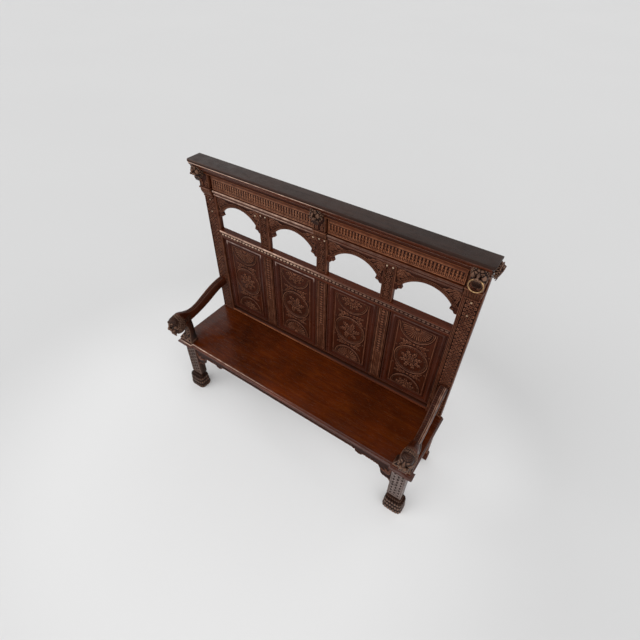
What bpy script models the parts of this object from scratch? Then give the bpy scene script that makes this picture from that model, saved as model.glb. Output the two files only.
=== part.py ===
"""High-back hall bench in carved oak: framed and panelled back with four
arched openings under a fluted frieze and a deep cornice, plank seat,
scrolled arms ending in lion heads, carved front legs on lion paws.

Metres, +Z up. The front faces -Y and X runs left to right as seen from the
front. The origin is on the floor, in the middle of the whole bench.
"""
import math

import bmesh
import bpy
from mathutils import Vector

for _o in list(bpy.data.objects):
    bpy.data.objects.remove(_o, do_unlink=True)

# ---------------------------------------------------------------- dimensions
GAP = 0.0003            # clearance left between touching pieces
F = 0.2270              # y of the front plane of the stiles
BACK = F + 0.032        # y of the back plane of the frame

HALF_W = 0.846          # outer face of the stiles
STILE_IN = 0.756        # inner face of the stiles
BAY_W = 0.330           # clear width of one bay
MUNTIN_W = 0.0655       # width of the two side muntins
CENTRE_W = 0.0655       # width of the centre muntin

Z_FOOT = 0.050          # top of the rear feet
Z_SEAT = 0.460          # top of the seat board
SEAT_T = 0.030          # thickness of the seat board
Z_BOT0, Z_BOT1 = 0.385, 0.510     # bottom rail of the back
Z_MID0, Z_MID1 = 1.075, 1.135     # mid rail, its top is the sill
Z_ARCH0 = 1.218         # lower edge of the arch boards
Z_TOP0, Z_TOP1 = 1.355, 1.4997    # top rail
Z_BED1 = 1.530          # top of the cornice bed
Z_CROWN1 = 1.565        # top of the crown moulding
Z_H = 1.578             # top of the bench

ARCH_R = 0.165          # radius of the arches
ARCH_ZC = 1.160         # height of their centres

SEAT_HALF = 0.862       # half length of the seat board
SEAT_FRONT = F - 0.423  # front edge of the seat
EAR_X0, EAR_X1 = 0.738, 0.868     # the seat's front corners stand out over the legs
EAR_Y0, EAR_Y1 = F - 0.432, F - 0.388

LEG_X0, LEG_X1 = 0.758, 0.843     # front leg, across
LEG_Y0, LEG_Y1 = F - 0.400, F - 0.348
PAW_H = 0.120

TENON = 0.026           # length of the tenons
TEN_CLR = 0.0004        # clearance round a tenon

RING_X = 0.808          # centre of the right-hand mask and its ring
RING_Y = F - 0.072
RING_Z = 1.498          # centre of the ring's tube where it hangs
RING_R = 0.0315
RING_T = 0.0033

BAYS = []               # (left, right) of the four bays
_x = -(2 * BAY_W + MUNTIN_W + CENTRE_W / 2)
for _w in (MUNTIN_W, CENTRE_W, MUNTIN_W, 0.0):
    BAYS.append((_x, _x + BAY_W))
    _x += BAY_W + _w
MUNTINS = [(BAYS[i][1], BAYS[i + 1][0]) for i in range(3)]
BAYS[0] = (-STILE_IN, BAYS[0][1])
BAYS[3] = (BAYS[3][0], STILE_IN)

# ----------------------------------------------------------------- materials


def material(name, colour, rough, metal=0.0):
    m = bpy.data.materials.new(name)
    m.use_nodes = True
    b = m.node_tree.nodes["Principled BSDF"]
    b.inputs["Base Color"].default_value = (*colour, 1.0)
    b.inputs["Roughness"].default_value = rough
    b.inputs["Metallic"].default_value = metal
    m.diffuse_color = (*colour, 1.0)
    return m


OAK = dict(colour=(0.062, 0.026, 0.015), rough=0.38)
OAK_SEAT = dict(colour=(0.115, 0.034, 0.010), rough=0.28)
OAK_TOP = dict(colour=(0.040, 0.030, 0.026), rough=0.45)
BRASS = dict(colour=(0.45, 0.27, 0.10), rough=0.35, metal=1.0)

# ------------------------------------------------------------------- helpers
root = bpy.data.objects.new("bench", None)
bpy.context.scene.collection.objects.link(root)
OBJ = {}


def make(name, verts, faces, look, origin=None, smooth=False, cutter=False):
    """One closed mesh object whose own origin is at `origin`."""
    if origin is None:
        lo = [min(v[i] for v in verts) for i in range(3)]
        hi = [max(v[i] for v in verts) for i in range(3)]
        origin = [(a + b) / 2 for a, b in zip(lo, hi)]
    me = bpy.data.meshes.new(name)
    me.from_pydata([[v[i] - origin[i] for i in range(3)] for v in verts], [], faces)
    bm = bmesh.new()
    bm.from_mesh(me)
    bmesh.ops.recalc_face_normals(bm, faces=bm.faces[:])
    bm.to_mesh(me)
    bm.free()
    ob = bpy.data.objects.new(name, me)
    bpy.context.scene.collection.objects.link(ob)
    ob.location = origin
    ob.parent = root
    if cutter:
        ob.hide_render = True
        ob.display_type = "WIRE"
    else:
        me.materials.append(material(name, **look))
        if smooth:
            me.shade_smooth()
            me.set_sharp_from_angle(angle=math.radians(35))
    OBJ[name] = ob
    return ob


def box_data(x0, x1, y0, y1, z0, z1):
    v = [(x, y, z) for x in (x0, x1) for y in (y0, y1) for z in (z0, z1)]
    f = [(0, 1, 3, 2), (4, 6, 7, 5), (0, 4, 5, 1), (2, 3, 7, 6), (0, 2, 6, 4), (1, 5, 7, 3)]
    return v, f


def box(name, x0, x1, y0, y1, z0, z1, look=OAK, **kw):
    return make(name, *box_data(x0, x1, y0, y1, z0, z1), look, **kw)


def loft(rings):
    """Closed body through rings of equal point count, capped at both ends."""
    n = len(rings[0])
    v = [p for r in rings for p in r]
    f = []
    for i in range(len(rings) - 1):
        for j in range(n):
            k = (j + 1) % n
            f.append((i * n + j, i * n + k, (i + 1) * n + k, (i + 1) * n + j))
    f.append(tuple(range(n))[::-1])
    f.append(tuple((len(rings) - 1) * n + j for j in range(n)))
    return v, f


def place(axis, t, a, b):
    """Point with coordinate t on `axis` and (a, b) on the other two, in order."""
    return {"x": (t, a, b), "y": (a, t, b), "z": (a, b, t)}[axis]


def prism(name, pts, axis, t0, t1, look=OAK, **kw):
    rings = [[place(axis, t, a, b) for a, b in pts] for t in (t0, t1)]
    return make(name, *loft(rings), look, **kw)


def rect(a0, a1, b0, b1):
    return [(a0, b0), (a1, b0), (a1, b1), (a0, b1)]


def tenoned(name, axis, t0, t1, full, ten0, ten1, look=OAK, length=TENON):
    """Rail or muntin of section `full` from t0 to t1 with a tenon at each end."""
    st = []
    if ten0:
        st += [(t0 - length, ten0), (t0, ten0)]
    st.append((t0, full))
    st.append((t1, full))
    if ten1:
        st += [(t1, ten1), (t1 + length, ten1)]
    rings = [[place(axis, t, a, b) for a, b in sec] for t, sec in st]
    return make(name, *loft(rings), look)


def cut(host, cutter):
    m = OBJ[host].modifiers.new("cut_" + cutter, "BOOLEAN")
    m.operation = "DIFFERENCE"
    m.solver = "EXACT"
    m.object = OBJ[cutter]


def pocket(name, x0, x1, y0, y1, z0, z1, *hosts):
    """Box-shaped mortise or groove taken out of the hosts."""
    box(name, x0, x1, y0, y1, z0, z1, cutter=True)
    for h in hosts:
        cut(h, name)


# ------------------------------------------------------- stiles and rear feet
SIDES = (("left", -1.0), ("right", 1.0))


def span(s, a, b):
    return (s * a, s * b) if s > 0 else (s * b, s * a)


for side, s in SIDES:
    x0, x1 = span(s, STILE_IN, HALF_W)
    box("stile_" + side, x0, x1, F, BACK, Z_FOOT + GAP, Z_TOP1)
    xo0, xo1 = span(s, STILE_IN - 0.004, HALF_W + 0.010)
    xi0, xi1 = span(s, STILE_IN - 0.001, HALF_W + 0.004)
    make("rear_foot_" + side, *loft([
        [place("z", 0.0, a, b) for a, b in rect(xo0, xo1, F - 0.012, BACK)],
        [place("z", 0.036, a, b) for a, b in rect(xo0, xo1, F - 0.012, BACK)],
        [place("z", Z_FOOT, a, b) for a, b in rect(xi0, xi1, F - 0.005, BACK)],
    ]), OAK)

# ------------------------------------------------------------ rails of the back
RX = STILE_IN - GAP
TY0, TY1 = F + 0.009, F + 0.023          # tenons of the upper frame, in depth

tenoned("top_rail", "x", -RX, RX, rect(F + 0.002, BACK - 0.002, Z_TOP0, Z_TOP1),
        rect(TY0, TY1, Z_TOP0 + 0.025, Z_TOP1 - 0.020), rect(TY0, TY1, Z_TOP0 + 0.025, Z_TOP1 - 0.020))
tenoned("mid_rail", "x", -RX, RX, rect(F + 0.002, BACK - 0.001, Z_MID0, Z_MID1),
        rect(TY0, TY1, Z_MID0 + 0.012, Z_MID1 - 0.012), rect(TY0, TY1, Z_MID0 + 0.012, Z_MID1 - 0.012))

# the bottom rail stands a little back and has a bevelled top edge
BR_Y0, BR_Y1 = F + 0.0165, BACK
BR_SEC = [(BR_Y0, Z_BOT0), (BR_Y1, Z_BOT0), (BR_Y1, Z_BOT1), (BR_Y0 + 0.0015, Z_BOT1), (BR_Y0, Z_BOT1 - 0.030)]
BT = [(BR_Y0 + 0.0035, Z_BOT0 + 0.02), (BR_Y1 - 0.0035, Z_BOT0 + 0.02), (BR_Y1 - 0.0035, Z_BOT1 - 0.02),
      (BR_Y0 + 0.0035, Z_BOT1 - 0.02), (BR_Y0 + 0.0035, Z_BOT1 - 0.05)]
tenoned("bottom_rail", "x", -RX, RX, BR_SEC, BT, BT)

C = TEN_CLR
for side, s in SIDES:
    st = "stile_" + side
    x0, x1 = span(s, STILE_IN - 0.005, STILE_IN + TENON + 0.002)
    pocket("cut_mortise_top_" + side, x0, x1, TY0 - C, TY1 + C, Z_TOP0 + 0.025 - C, Z_TOP1 - 0.020 + C, st)
    pocket("cut_mortise_mid_" + side, x0, x1, TY0 - C, TY1 + C, Z_MID0 + 0.012 - C, Z_MID1 - 0.012 + C, st)
    pocket("cut_mortise_bottom_" + side, x0, x1, BR_Y0 + 0.0035 - C, BR_Y1 - 0.0035 + C,
           Z_BOT0 + 0.02 - C, Z_BOT1 - 0.02 + C, st)

# ---------------------------------------------------------------- the muntins
NAMES3 = ("left", "centre", "right")
LM_Y0, LM_Y1 = F + 0.008, F + 0.031      # lower muntins stand back 8 mm
for nm, (mx0, mx1) in zip(NAMES3, MUNTINS):
    c = (mx0 + mx1) / 2
    t = rect(c - 0.020, c + 0.020, TY0, TY1)
    tenoned("upper_muntin_" + nm, "z", Z_MID1 + GAP, Z_TOP0 - GAP, rect(mx0, mx1, F, F + 0.030), t, t, length=0.022)
    tenoned("lower_muntin_" + nm, "z", Z_BOT1 + GAP, Z_MID0 - GAP, rect(mx0, mx1, LM_Y0, LM_Y1), 
            rect(c - 0.020, c + 0.020, BR_Y0 + 0.0045, BR_Y1 - 0.004), rect(c - 0.020, c + 0.020, TY0 + 0.002, TY1), length=0.020)
    pocket("cut_um_top_" + nm, c - 0.020 - C, c + 0.020 + C, TY0 - C, TY1 + C, Z_TOP0 - 0.01, Z_TOP0 + 0.024, "top_rail")
    pocket("cut_um_mid_" + nm, c - 0.020 - C, c + 0.020 + C, TY0 - C, TY1 + C, Z_MID1 - 0.024, Z_MID1 + 0.01, "mid_rail")
    pocket("cut_lm_mid_" + nm, c - 0.020 - C, c + 0.020 + C, TY0 + 0.002 - C, TY1 + C, Z_MID0 - 0.01, Z_MID0 + 0.022, "mid_rail")
    pocket("cut_lm_bot_" + nm, c - 0.020 - C, c + 0.020 + C, BR_Y0 + 0.0045 - C, BR_Y1 - 0.004 + C, Z_BOT1 - 0.022, Z_BOT1 + 0.01,
           "bottom_rail")

# ------------------------------------------------- carved panels and their frames
P_Y0, P_Y1 = F + 0.0195, F + 0.0265      # panel boards
TONGUE = 0.006
RING_SIDE, RING_TOP, RING_BOT = 0.055, 0.045, 0.035
SIDES_OF_BAY = [("stile_left", "muntin_left"), ("muntin_left", "muntin_centre"),
                ("muntin_centre", "muntin_right"), ("muntin_right", "stile_right")]


def bay_hosts(i, level):
    out = []
    for h in SIDES_OF_BAY[i]:
        out.append(h if h.startswith("stile") else level + "_" + h)
    return out


for i, (bx0, bx1) in enumerate(BAYS):
    n = str(i + 1)
    box("panel_" + n, bx0 - TONGUE, bx1 + TONGUE, P_Y0, P_Y1, Z_BOT1 - TONGUE, Z_MID0 + TONGUE)
    pocket("cut_panel_" + n, bx0 - TONGUE - 0.001, bx1 + TONGUE + 0.001, P_Y0 - GAP, P_Y1 + GAP,
           Z_BOT1 - TONGUE - 0.001, Z_MID0 + TONGUE + 0.001, "bottom_rail", "mid_rail", *bay_hosts(i, "lower"))
    # mitred moulding frame lying on the panel, bevelled towards the field
    ox0, ox1, oz0, oz1 = bx0 + 0.0025, bx1 - 0.0025, Z_BOT1 + 0.0006, Z_MID0 - 0.0006
    ix0, ix1, iz0, iz1 = bx0 + RING_SIDE, bx1 - RING_SIDE, Z_BOT1 + RING_BOT, Z_MID0 - RING_TOP
    b = 0.010
    yb, yf = P_Y0 - GAP, F + 0.0115
    loops = [
        [(ox0, yb, oz0), (ox1, yb, oz0), (ox1, yb, oz1), (ox0, yb, oz1)],
        [(ox0, yf, oz0), (ox1, yf, oz0), (ox1, yf, oz1), (ox0, yf, oz1)],
        [(ix0 - b, yf, iz0 - b), (ix1 + b, yf, iz0 - b), (ix1 + b, yf, iz1 + b), (ix0 - b, yf, iz1 + b)],
        [(ix0, yf + 0.005, iz0), (ix1, yf + 0.005, iz0), (ix1, yf + 0.005, iz1), (ix0, yf + 0.005, iz1)],
        [(ix0, yb, iz0), (ix1, yb, iz0), (ix1, yb, iz1), (ix0, yb, iz1)],
    ]
    v = [p for L in loops for p in L]
    f = []
    for a in range(5):
        e = (a + 1) % 5
        for j in range(4):
            k = (j + 1) % 4
            f.append((a * 4 + j, a * 4 + k, e * 4 + k, e * 4 + j))
    make("panel_moulding_" + n, v, f, OAK)

# ------------------------------------------------------------------ arch boards
A_Y0, A_Y1 = F + 0.008, F + 0.024
A_TONGUE = 0.008


def arch_outline(bx0, bx1, grow=0.0):
    """Outline in X and Z of one arch board, tongues included."""
    c = (bx0 + bx1) / 2
    half = [(0.152, Z_ARCH0), (0.147, 1.222), (0.143, 1.232), (0.131, 1.237), (0.129, 1.246)]
    a0 = math.asin((1.252 - ARCH_ZC) / ARCH_R)
    n = 22
    arc = []
    for k in range(n + 1):
        a = math.pi - a0 - (math.pi - 2 * a0) * k / n
        arc.append((c + ARCH_R * math.cos(a), ARCH_ZC + ARCH_R * math.sin(a)))
    zt = Z_TOP0 + A_TONGUE
    pts = [(bx0 - A_TONGUE, zt), (bx0 - A_TONGUE, Z_ARCH0)]
    pts += [(c - dx, z) for dx, z in half] + arc + [(c + dx, z) for dx, z in reversed(half)]
    pts += [(bx1 + A_TONGUE, Z_ARCH0), (bx1 + A_TONGUE, zt)]
    return pts


for i, (bx0, bx1) in enumerate(BAYS):
    n = str(i + 1)
    prism("arch_board_" + n, arch_outline(bx0, bx1), "y", A_Y0, A_Y1)
    pocket("cut_arch_" + n, bx0 - A_TONGUE - 0.001, bx1 + A_TONGUE + 0.001, A_Y0 - GAP, A_Y1 + GAP,
           Z_ARCH0 - GAP, Z_TOP0 + A_TONGUE + 0.001, "top_rail", *bay_hosts(i, "upper"))

# --------------------------------------------------- sill, frieze and capitals
prism("sill_moulding", [(F + 0.002 - GAP, 1.088), (F - 0.001, 1.088), (F - 0.003, 1.094), (F - 0.003, 1.106),
                        (F - 0.009, 1.113), (F - 0.009, 1.127), (F - 0.005, Z_MID1), (F + 0.002 - GAP, Z_MID1)],
      "x", -RX + 0.001, RX - 0.001)

FR_X0, FR_X1 = 0.0425, 0.7530
for side, s in SIDES:
    x0, x1 = span(s, FR_X0, FR_X1)
    yb = F + 0.002 - GAP
    box("frieze_" + side, x0, x1, F - 0.012, yb, 1.405, Z_TOP1)
    prism("frieze_moulding_" + side,
          [(yb, 1.362), (F - 0.006, 1.362), (F - 0.010, 1.368), (F - 0.010, 1.378), (F - 0.018, 1.386),
           (F - 0.018, 1.400), (F - 0.015, 1.405 - GAP), (yb, 1.405 - GAP)], "x", x0, x1)

CAP_OUT = 0.8485
for side, s in SIDES:
    x0, x1 = span(s, 0.7535, CAP_OUT)
    p = [(F - GAP, 1.345), (F - 0.018, 1.345), (F - 0.026, 1.353), (F - 0.026, 1.366), (F - 0.018, 1.372),
         (F - 0.018, 1.390), (F - 0.030, 1.397), (F - 0.030, 1.405), (F - 0.034, 1.410), (F - 0.034, Z_TOP1),
         (F - GAP, Z_TOP1)]
    prism("capital_" + side, p, "x", x0, x1)
p = [(F + 0.002 - GAP, 1.357), (F - 0.012, 1.357), (F - 0.022, 1.364), (F - 0.022, 1.374), (F - 0.018, 1.378),
     (F - 0.018, 1.390), (F - 0.030, 1.397), (F - 0.030, 1.405), (F - 0.034, 1.410), (F - 0.034, Z_TOP1),
     (F + 0.002 - GAP, Z_TOP1)]
prism("capital_centre", p, "x", -0.042, 0.042)

# -------------------------------------------------------------------- cornice
box("cornice_bed", -CAP_OUT, CAP_OUT, F - 0.034, BACK, Z_TOP1 + GAP, Z_BED1 - GAP)
ogee = [(BACK, Z_BED1), (F - 0.058, Z_BED1), (F - 0.0585, Z_BED1 + 0.006)]
for k in range(1, 8):
    t = k / 8
    ogee.append((F - 0.0585 - 0.0125 * (t - math.sin(2 * math.pi * t) / (2 * math.pi) * 0.8), Z_BED1 + 0.006 + 0.023 * t))
ogee += [(F - 0.0715, Z_BED1 + 0.030), (F - 0.0715, Z_CROWN1 - GAP), (BACK, Z_CROWN1 - GAP)]
prism("cornice_crown", ogee, "x", -CAP_OUT, CAP_OUT)
box("cornice_top", -0.861, 0.861, F - 0.0754, BACK, Z_CROWN1, Z_H, look=OAK_TOP)

# ------------------------------------------------------------------ lion masks


def mask_profile(mouth):
    """Depth below the stile plane against height, from chin to mane."""
    if mouth:
        return [(0.0343, 1.443), (0.054, 1.443), (0.0625, 1.455), (0.0645, 1.470), (0.0625, 1.489), (0.058, 1.489),
                (0.058, 1.507), (0.088, 1.507), (0.094, 1.516), (0.084, 1.530), (0.079, 1.552), (0.0722, 1.552),
                (0.0722, 1.5295), (0.0343, 1.5295)]
    return [(0.0343, 1.443), (0.054, 1.443), (0.0645, 1.455), (0.068, 1.470), (0.070, 1.486), (0.066, 1.489),
            (0.070, 1.500), (0.088, 1.505), (0.094, 1.516), (0.084, 1.530), (0.079, 1.552), (0.0722, 1.552),
            (0.0722, 1.5295), (0.0343, 1.5295)]


def mask(name, cx, mouth):
    prof = mask_profile(mouth)
    rings = []
    for dx, k in ((-0.034, 0.42), (-0.026, 0.80), (-0.013, 1.0), (0.013, 1.0), (0.026, 0.80), (0.034, 0.42)):
        ring = []
        for d, z in prof:
            base = 0.0722 if z > 1.5296 or (d, z) == (0.0722, 1.5295) else 0.0343
            dd = base + (d - base) * k
            zz = z
            if 1.4430 <= z < 1.4545:
                zz = z + (1.0 - k) * 0.016
            if z > 1.5495:
                zz = z - (1.0 - k) * 0.010
            ring.append((cx + dx, F - dd, zz))
        rings.append(ring)
    return make(name, *loft(rings), OAK, smooth=True)


mask("lion_mask_left", -RING_X, False)
mask("lion_mask_centre", 0.0, False)
mask("lion_mask_right", RING_X, True)

# masks on the two ends, against the capital, bed and crown
for side, s in SIDES:
    rings = []
    prof = [(0.0003, 1.480), (0.012, 1.480), (0.024, 1.490), (0.030, 1.508), (0.0355, 1.528), (0.034, 1.540),
            (0.024, 1.552), (0.016, 1.562), (0.0003, 1.562)]
    for dy, k in ((-0.037, 0.40), (-0.028, 0.80), (-0.012, 1.0), (0.008, 1.0), (0.022, 0.80), (0.029, 0.40)):
        rings.append([(s * (CAP_OUT + 0.0003 + (d - 0.0003) * k), F + dy, z) for d, z in prof])
    make("lion_mask_end_" + side, *loft(rings), OAK, smooth=True)

# --------------------------------------------------------------- ring and staple
N_MAJ, N_MIN = 40, 10
v, f = [], []
for i in range(N_MAJ):
    a = 2 * math.pi * i / N_MAJ
    for j in range(N_MIN):
        b = 2 * math.pi * j / N_MIN
        r = RING_R + RING_T * math.cos(b)
        v.append((RING_X + r * math.sin(a), RING_Y + RING_T * math.sin(b), RING_Z - RING_R + r * math.cos(a)))
        f.append((i * N_MIN + j, ((i + 1) % N_MAJ) * N_MIN + j, ((i + 1) % N_MAJ) * N_MIN + (j + 1) % N_MIN,
                  i * N_MIN + (j + 1) % N_MIN))
make("mask_ring", v, f, BRASS, origin=(RING_X, RING_Y, RING_Z), smooth=True)

# U-shaped wire staple in the mouth, round the top of the ring
ST_R, ST_T = 0.0057, 0.0015
y_end = F - 0.058 - GAP
path = [(y_end, RING_Z + ST_R), (RING_Y + 0.004, RING_Z + ST_R)]
for k in range(13):
    a = math.pi / 2 + math.pi * k / 12
    path.append((RING_Y + ST_R * math.cos(a), RING_Z + ST_R * math.sin(a)))
path += [(RING_Y + 0.004, RING_Z - ST_R), (y_end, RING_Z - ST_R)]
rings = []
for i, (py, pz) in enumerate(path):
    q0, q1 = path[max(i - 1, 0)], path[min(i + 1, len(path) - 1)]
    ty, tz = q1[0] - q0[0], q1[1] - q0[1]
    L = math.hypot(ty, tz)
    ty, tz = ty / L, tz / L
    rings.append([(RING_X + ST_T * math.cos(2 * math.pi * j / 8),
                   py - tz * ST_T * math.sin(2 * math.pi * j / 8),
                   pz + ty * ST_T * math.sin(2 * math.pi * j / 8)) for j in range(8)])
make("ring_staple", *loft(rings), BRASS, smooth=True)

# ------------------------------------------------------------------------- seat
SY1 = F + 0.0165 - GAP
corner = [(EAR_X0, SEAT_FRONT), (EAR_X0, EAR_Y0), (EAR_X1, EAR_Y0), (EAR_X1, EAR_Y1), (SEAT_HALF, EAR_Y1),
          (SEAT_HALF, F - GAP), (RX - GAP, F - GAP), (RX - GAP, SY1)]
outline = corner + [(-x, y) for x, y in reversed(corner)]
prism("seat_board", outline, "z", Z_SEAT - SEAT_T + GAP, Z_SEAT, look=OAK_SEAT)

ZU = Z_SEAT - SEAT_T          # underside of the seat

# front apron with scalloped brackets next to the legs
AP_Y0, AP_Y1 = F - 0.396, F - 0.374
AX = LEG_X0 - GAP


def apron_edge():
    """Lower edge of the right-hand half, from the middle to the leg."""
    pts = [(0.0, 0.366), (0.500, 0.366), (0.520, 0.364)]
    for k in range(1, 7):                       # small lobe
        a = math.pi * k / 7
        pts.append((0.545 + 0.025 * -math.cos(a), 0.362 - 0.020 * math.sin(a)))
    pts.append((0.575, 0.360))
    for k in range(1, 6):                       # shallow hollow rising to a nib
        a = math.pi * k / 6
        pts.append((0.625 + 0.050 * -math.cos(a), 0.358 + 0.006 * math.sin(a)))
    pts.append((0.680, 0.350))
    pts += [(0.690, 0.330), (0.694, 0.312), (0.700, 0.300), (0.709, 0.297), (0.716, 0.301)]
    for k in range(0, 6):                       # quarter hollow down to the leg
        a = math.pi / 2 * k / 5
        pts.append((0.722 + (AX - 0.722) * math.sin(a), 0.296 - 0.034 * (1 - math.cos(a))))
    return pts


edge = apron_edge()
low = [(-x, z) for x, z in reversed(edge)] + edge[1:]
outline = low + [(AX, ZU - GAP), (-AX, ZU - GAP)]
# the apron stands between the two legs, close under the seat
prism("front_apron", outline, "y", AP_Y0, AP_Y1)

for side, s in SIDES:
    x0, x1 = span(s, LEG_X0, LEG_X1)
    cx = (x0 + x1) / 2
    cy = (LEG_Y0 + LEG_Y1) / 2
    # square post, dowelled into the paw below and tenoned into the seat
    rings = [[place("z", z, a, b) for a, b in sec] for z, sec in (
        (PAW_H - 0.020, rect(cx - 0.016, cx + 0.016, cy - 0.012, cy + 0.012)),
        (PAW_H + GAP, rect(cx - 0.016, cx + 0.016, cy - 0.012, cy + 0.012)),
        (PAW_H + GAP, rect(x0, x1, LEG_Y0, LEG_Y1)),
        (ZU - GAP, rect(x0, x1, LEG_Y0, LEG_Y1)),
        (ZU - GAP, rect(cx - 0.022, cx + 0.022, cy - 0.012, cy + 0.012)),
        (ZU + 0.014, rect(cx - 0.022, cx + 0.022, cy - 0.012, cy + 0.012)))]
    make("front_leg_" + side, *loft(rings), OAK)
    pocket("cut_leg_seat_" + side, cx - 0.022 - C, cx + 0.022 + C, cy - 0.012 - C, cy + 0.012 + C,
           ZU - 0.01, ZU + 0.016, "seat_board")
    # lion paw: a block that widens and comes forward from the leg to the floor
    pc = s * 0.8005
    paw = []
    for z, hw, yf, yb in ((0.0, 0.060, 0.430, 0.340), (0.010, 0.063, 0.434, 0.337), (0.045, 0.063, 0.434, 0.336),
                          (0.075, 0.060, 0.428, 0.337), (0.098, 0.055, 0.416, 0.340), (PAW_H, 0.047, 0.405, 0.344)):
        ch = 0.016
        y0, y1 = F - yf, F - yb
        paw.append([place("z", z, a, b) for a, b in (
            (pc - hw + ch, y0), (pc + hw - ch, y0), (pc + hw, y0 + ch), (pc + hw, y1 - 0.006), (pc + hw - 0.006, y1),
            (pc - hw + 0.006, y1), (pc - hw, y1 - 0.006), (pc - hw, y0 + ch))])
    make("paw_foot_" + side, *loft(paw), OAK, smooth=True)
    pocket("cut_leg_paw_" + side, cx - 0.016 - C, cx + 0.016 + C, cy - 0.012 - C, cy + 0.012 + C,
           PAW_H - 0.022, PAW_H + 0.01, "paw_foot_" + side)
    # side rail from the front leg to the stile
    rx0, rx1 = span(s, 0.790, 0.812)
    t = [(rx0 + 0.006, 0.372), (rx1 - 0.006, 0.372), (rx1 - 0.006, 0.418), (rx0 + 0.006, 0.418)]
    tenoned("side_rail_" + side, "y", LEG_Y1 + GAP, F - GAP, rect(rx0, rx1, 0.362, ZU - GAP), t, t, length=0.018)
    pocket("cut_side_rail_f_" + side, rx0 + 0.006 - C, rx1 - 0.006 + C, LEG_Y1 - 0.020, LEG_Y1 + 0.01,
           0.372 - C, 0.418 + C, "front_leg_" + side)
    pocket("cut_side_rail_b_" + side, rx0 + 0.006 - C, rx1 - 0.006 + C, F - 0.01, F + 0.020,
           0.372 - C, 0.418 + C, "stile_" + side)

# bearer under the middle of the seat, from the apron to the bottom rail
tt = [(-0.014, 0.398), (0.014, 0.398), (0.014, 0.420), (-0.014, 0.420)]
tenoned("seat_bearer", "y", AP_Y1 + GAP, BR_Y0 - GAP, rect(-0.024, 0.024, 0.390, ZU - GAP), tt, tt, length=0.010)
pocket("cut_bearer_f", -0.014 - C, 0.014 + C, AP_Y1 - 0.0115, AP_Y1 + 0.01, 0.398 - C, 0.420 + C, "front_apron")
pocket("cut_bearer_b", -0.014 - C, 0.014 + C, BR_Y0 - 0.01, BR_Y0 + 0.0115, 0.398 - C, 0.420 + C, "bottom_rail")

# ------------------------------------------------------------------------- arms
# (depth in front of the stile, top, bottom, centre across, half width)
ARM = [
    (0.0003, 0.7450, 0.6990, 0.8090, 0.0265),
    (0.0300, 0.7440, 0.6960, 0.8095, 0.0255),
    (0.0700, 0.7380, 0.6860, 0.8110, 0.0240),
    (0.1100, 0.7280, 0.6680, 0.8135, 0.0225),
    (0.1500, 0.7130, 0.6480, 0.8160, 0.0212),
    (0.1900, 0.6950, 0.6310, 0.8185, 0.0203),
    (0.2300, 0.6765, 0.6175, 0.8205, 0.0198),
    (0.2700, 0.6635, 0.6080, 0.8215, 0.0197),
    (0.3050, 0.6590, 0.6010, 0.8225, 0.0200),
    (0.3400, 0.6640, 0.5950, 0.8240, 0.0220),
    (0.3650, 0.6750, 0.5880, 0.8255, 0.0270),
    (0.3900, 0.6880, 0.5720, 0.8270, 0.0340),
    (0.4150, 0.6970, 0.5480, 0.8280, 0.0385),
    (0.4400, 0.6980, 0.5330, 0.8280, 0.0390),
    (0.4600, 0.6900, 0.5360, 0.8280, 0.0360),
    (0.4750, 0.6740, 0.5530, 0.8280, 0.0300),
    (0.4860, 0.6480, 0.5800, 0.8280, 0.0200),
]


def arm_rings(s, grow=0.0, n=14):
    rings = []
    for d, zt, zb, xc, hw in ARM:
        ring = []
        zc, hh = (zt + zb) / 2, (zt - zb) / 2 + grow
        for j in range(n):
            a = 2 * math.pi * (j + 0.5) / n
            ca, sa = math.cos(a), math.sin(a)
            e = 0.62                       # rounded rectangle
            ring.append((s * xc + (hw + grow) * math.copysign(abs(ca) ** e, ca), F - d,
                         zc + hh * math.copysign(abs(sa) ** e, sa)))
        rings.append(ring)
    return rings


def tenon_ring(s, y, n=14):
    """The arm's tenon, with as many points round it as the arm."""
    ring = []
    for j in range(n):
        a = 2 * math.pi * (j + 0.5) / n
        ca, sa = math.cos(a), math.sin(a)
        m = max(abs(ca), abs(sa))
        ring.append((s * 0.809 + 0.013 * ca / m, y, 0.722 + 0.014 * sa / m))
    return ring


for side, s in SIDES:
    rings = [tenon_ring(s, F + 0.022), tenon_ring(s, F - 0.0003)] + arm_rings(s)
    make("arm_" + side, *loft(rings), OAK, smooth=True)
    pocket("cut_arm_stile_" + side, s * 0.809 - 0.013 - C, s * 0.809 + 0.013 + C, F - 0.01, F + 0.024,
           0.722 - 0.014 - C, 0.722 + 0.014 + C, "stile_" + side)
    make("cut_arm_under_" + side, *loft(arm_rings(s, 0.0004)), None, cutter=True)
    # carved support between the seat corner and the neck of the arm
    sup = []
    for z, xa, xb, d0, d1 in ((Z_SEAT + GAP, 0.748, 0.860, 0.416, 0.362), (0.474, 0.752, 0.858, 0.416, 0.362),
                              (0.486, 0.768, 0.856, 0.414, 0.362), (0.510, 0.782, 0.854, 0.412, 0.362),
                              (0.545, 0.790, 0.852, 0.410, 0.358), (0.580, 0.794, 0.850, 0.410, 0.352),
                              (0.612, 0.796, 0.850, 0.408, 0.348)):
        x0, x1 = span(s, xa, xb)
        sup.append([place("z", z, a, b) for a, b in rect(x0, x1, F - d0, F - d1)])
    make("arm_support_" + side, *loft(sup), OAK)
    cut("arm_support_" + side, "cut_arm_under_" + side)

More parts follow.
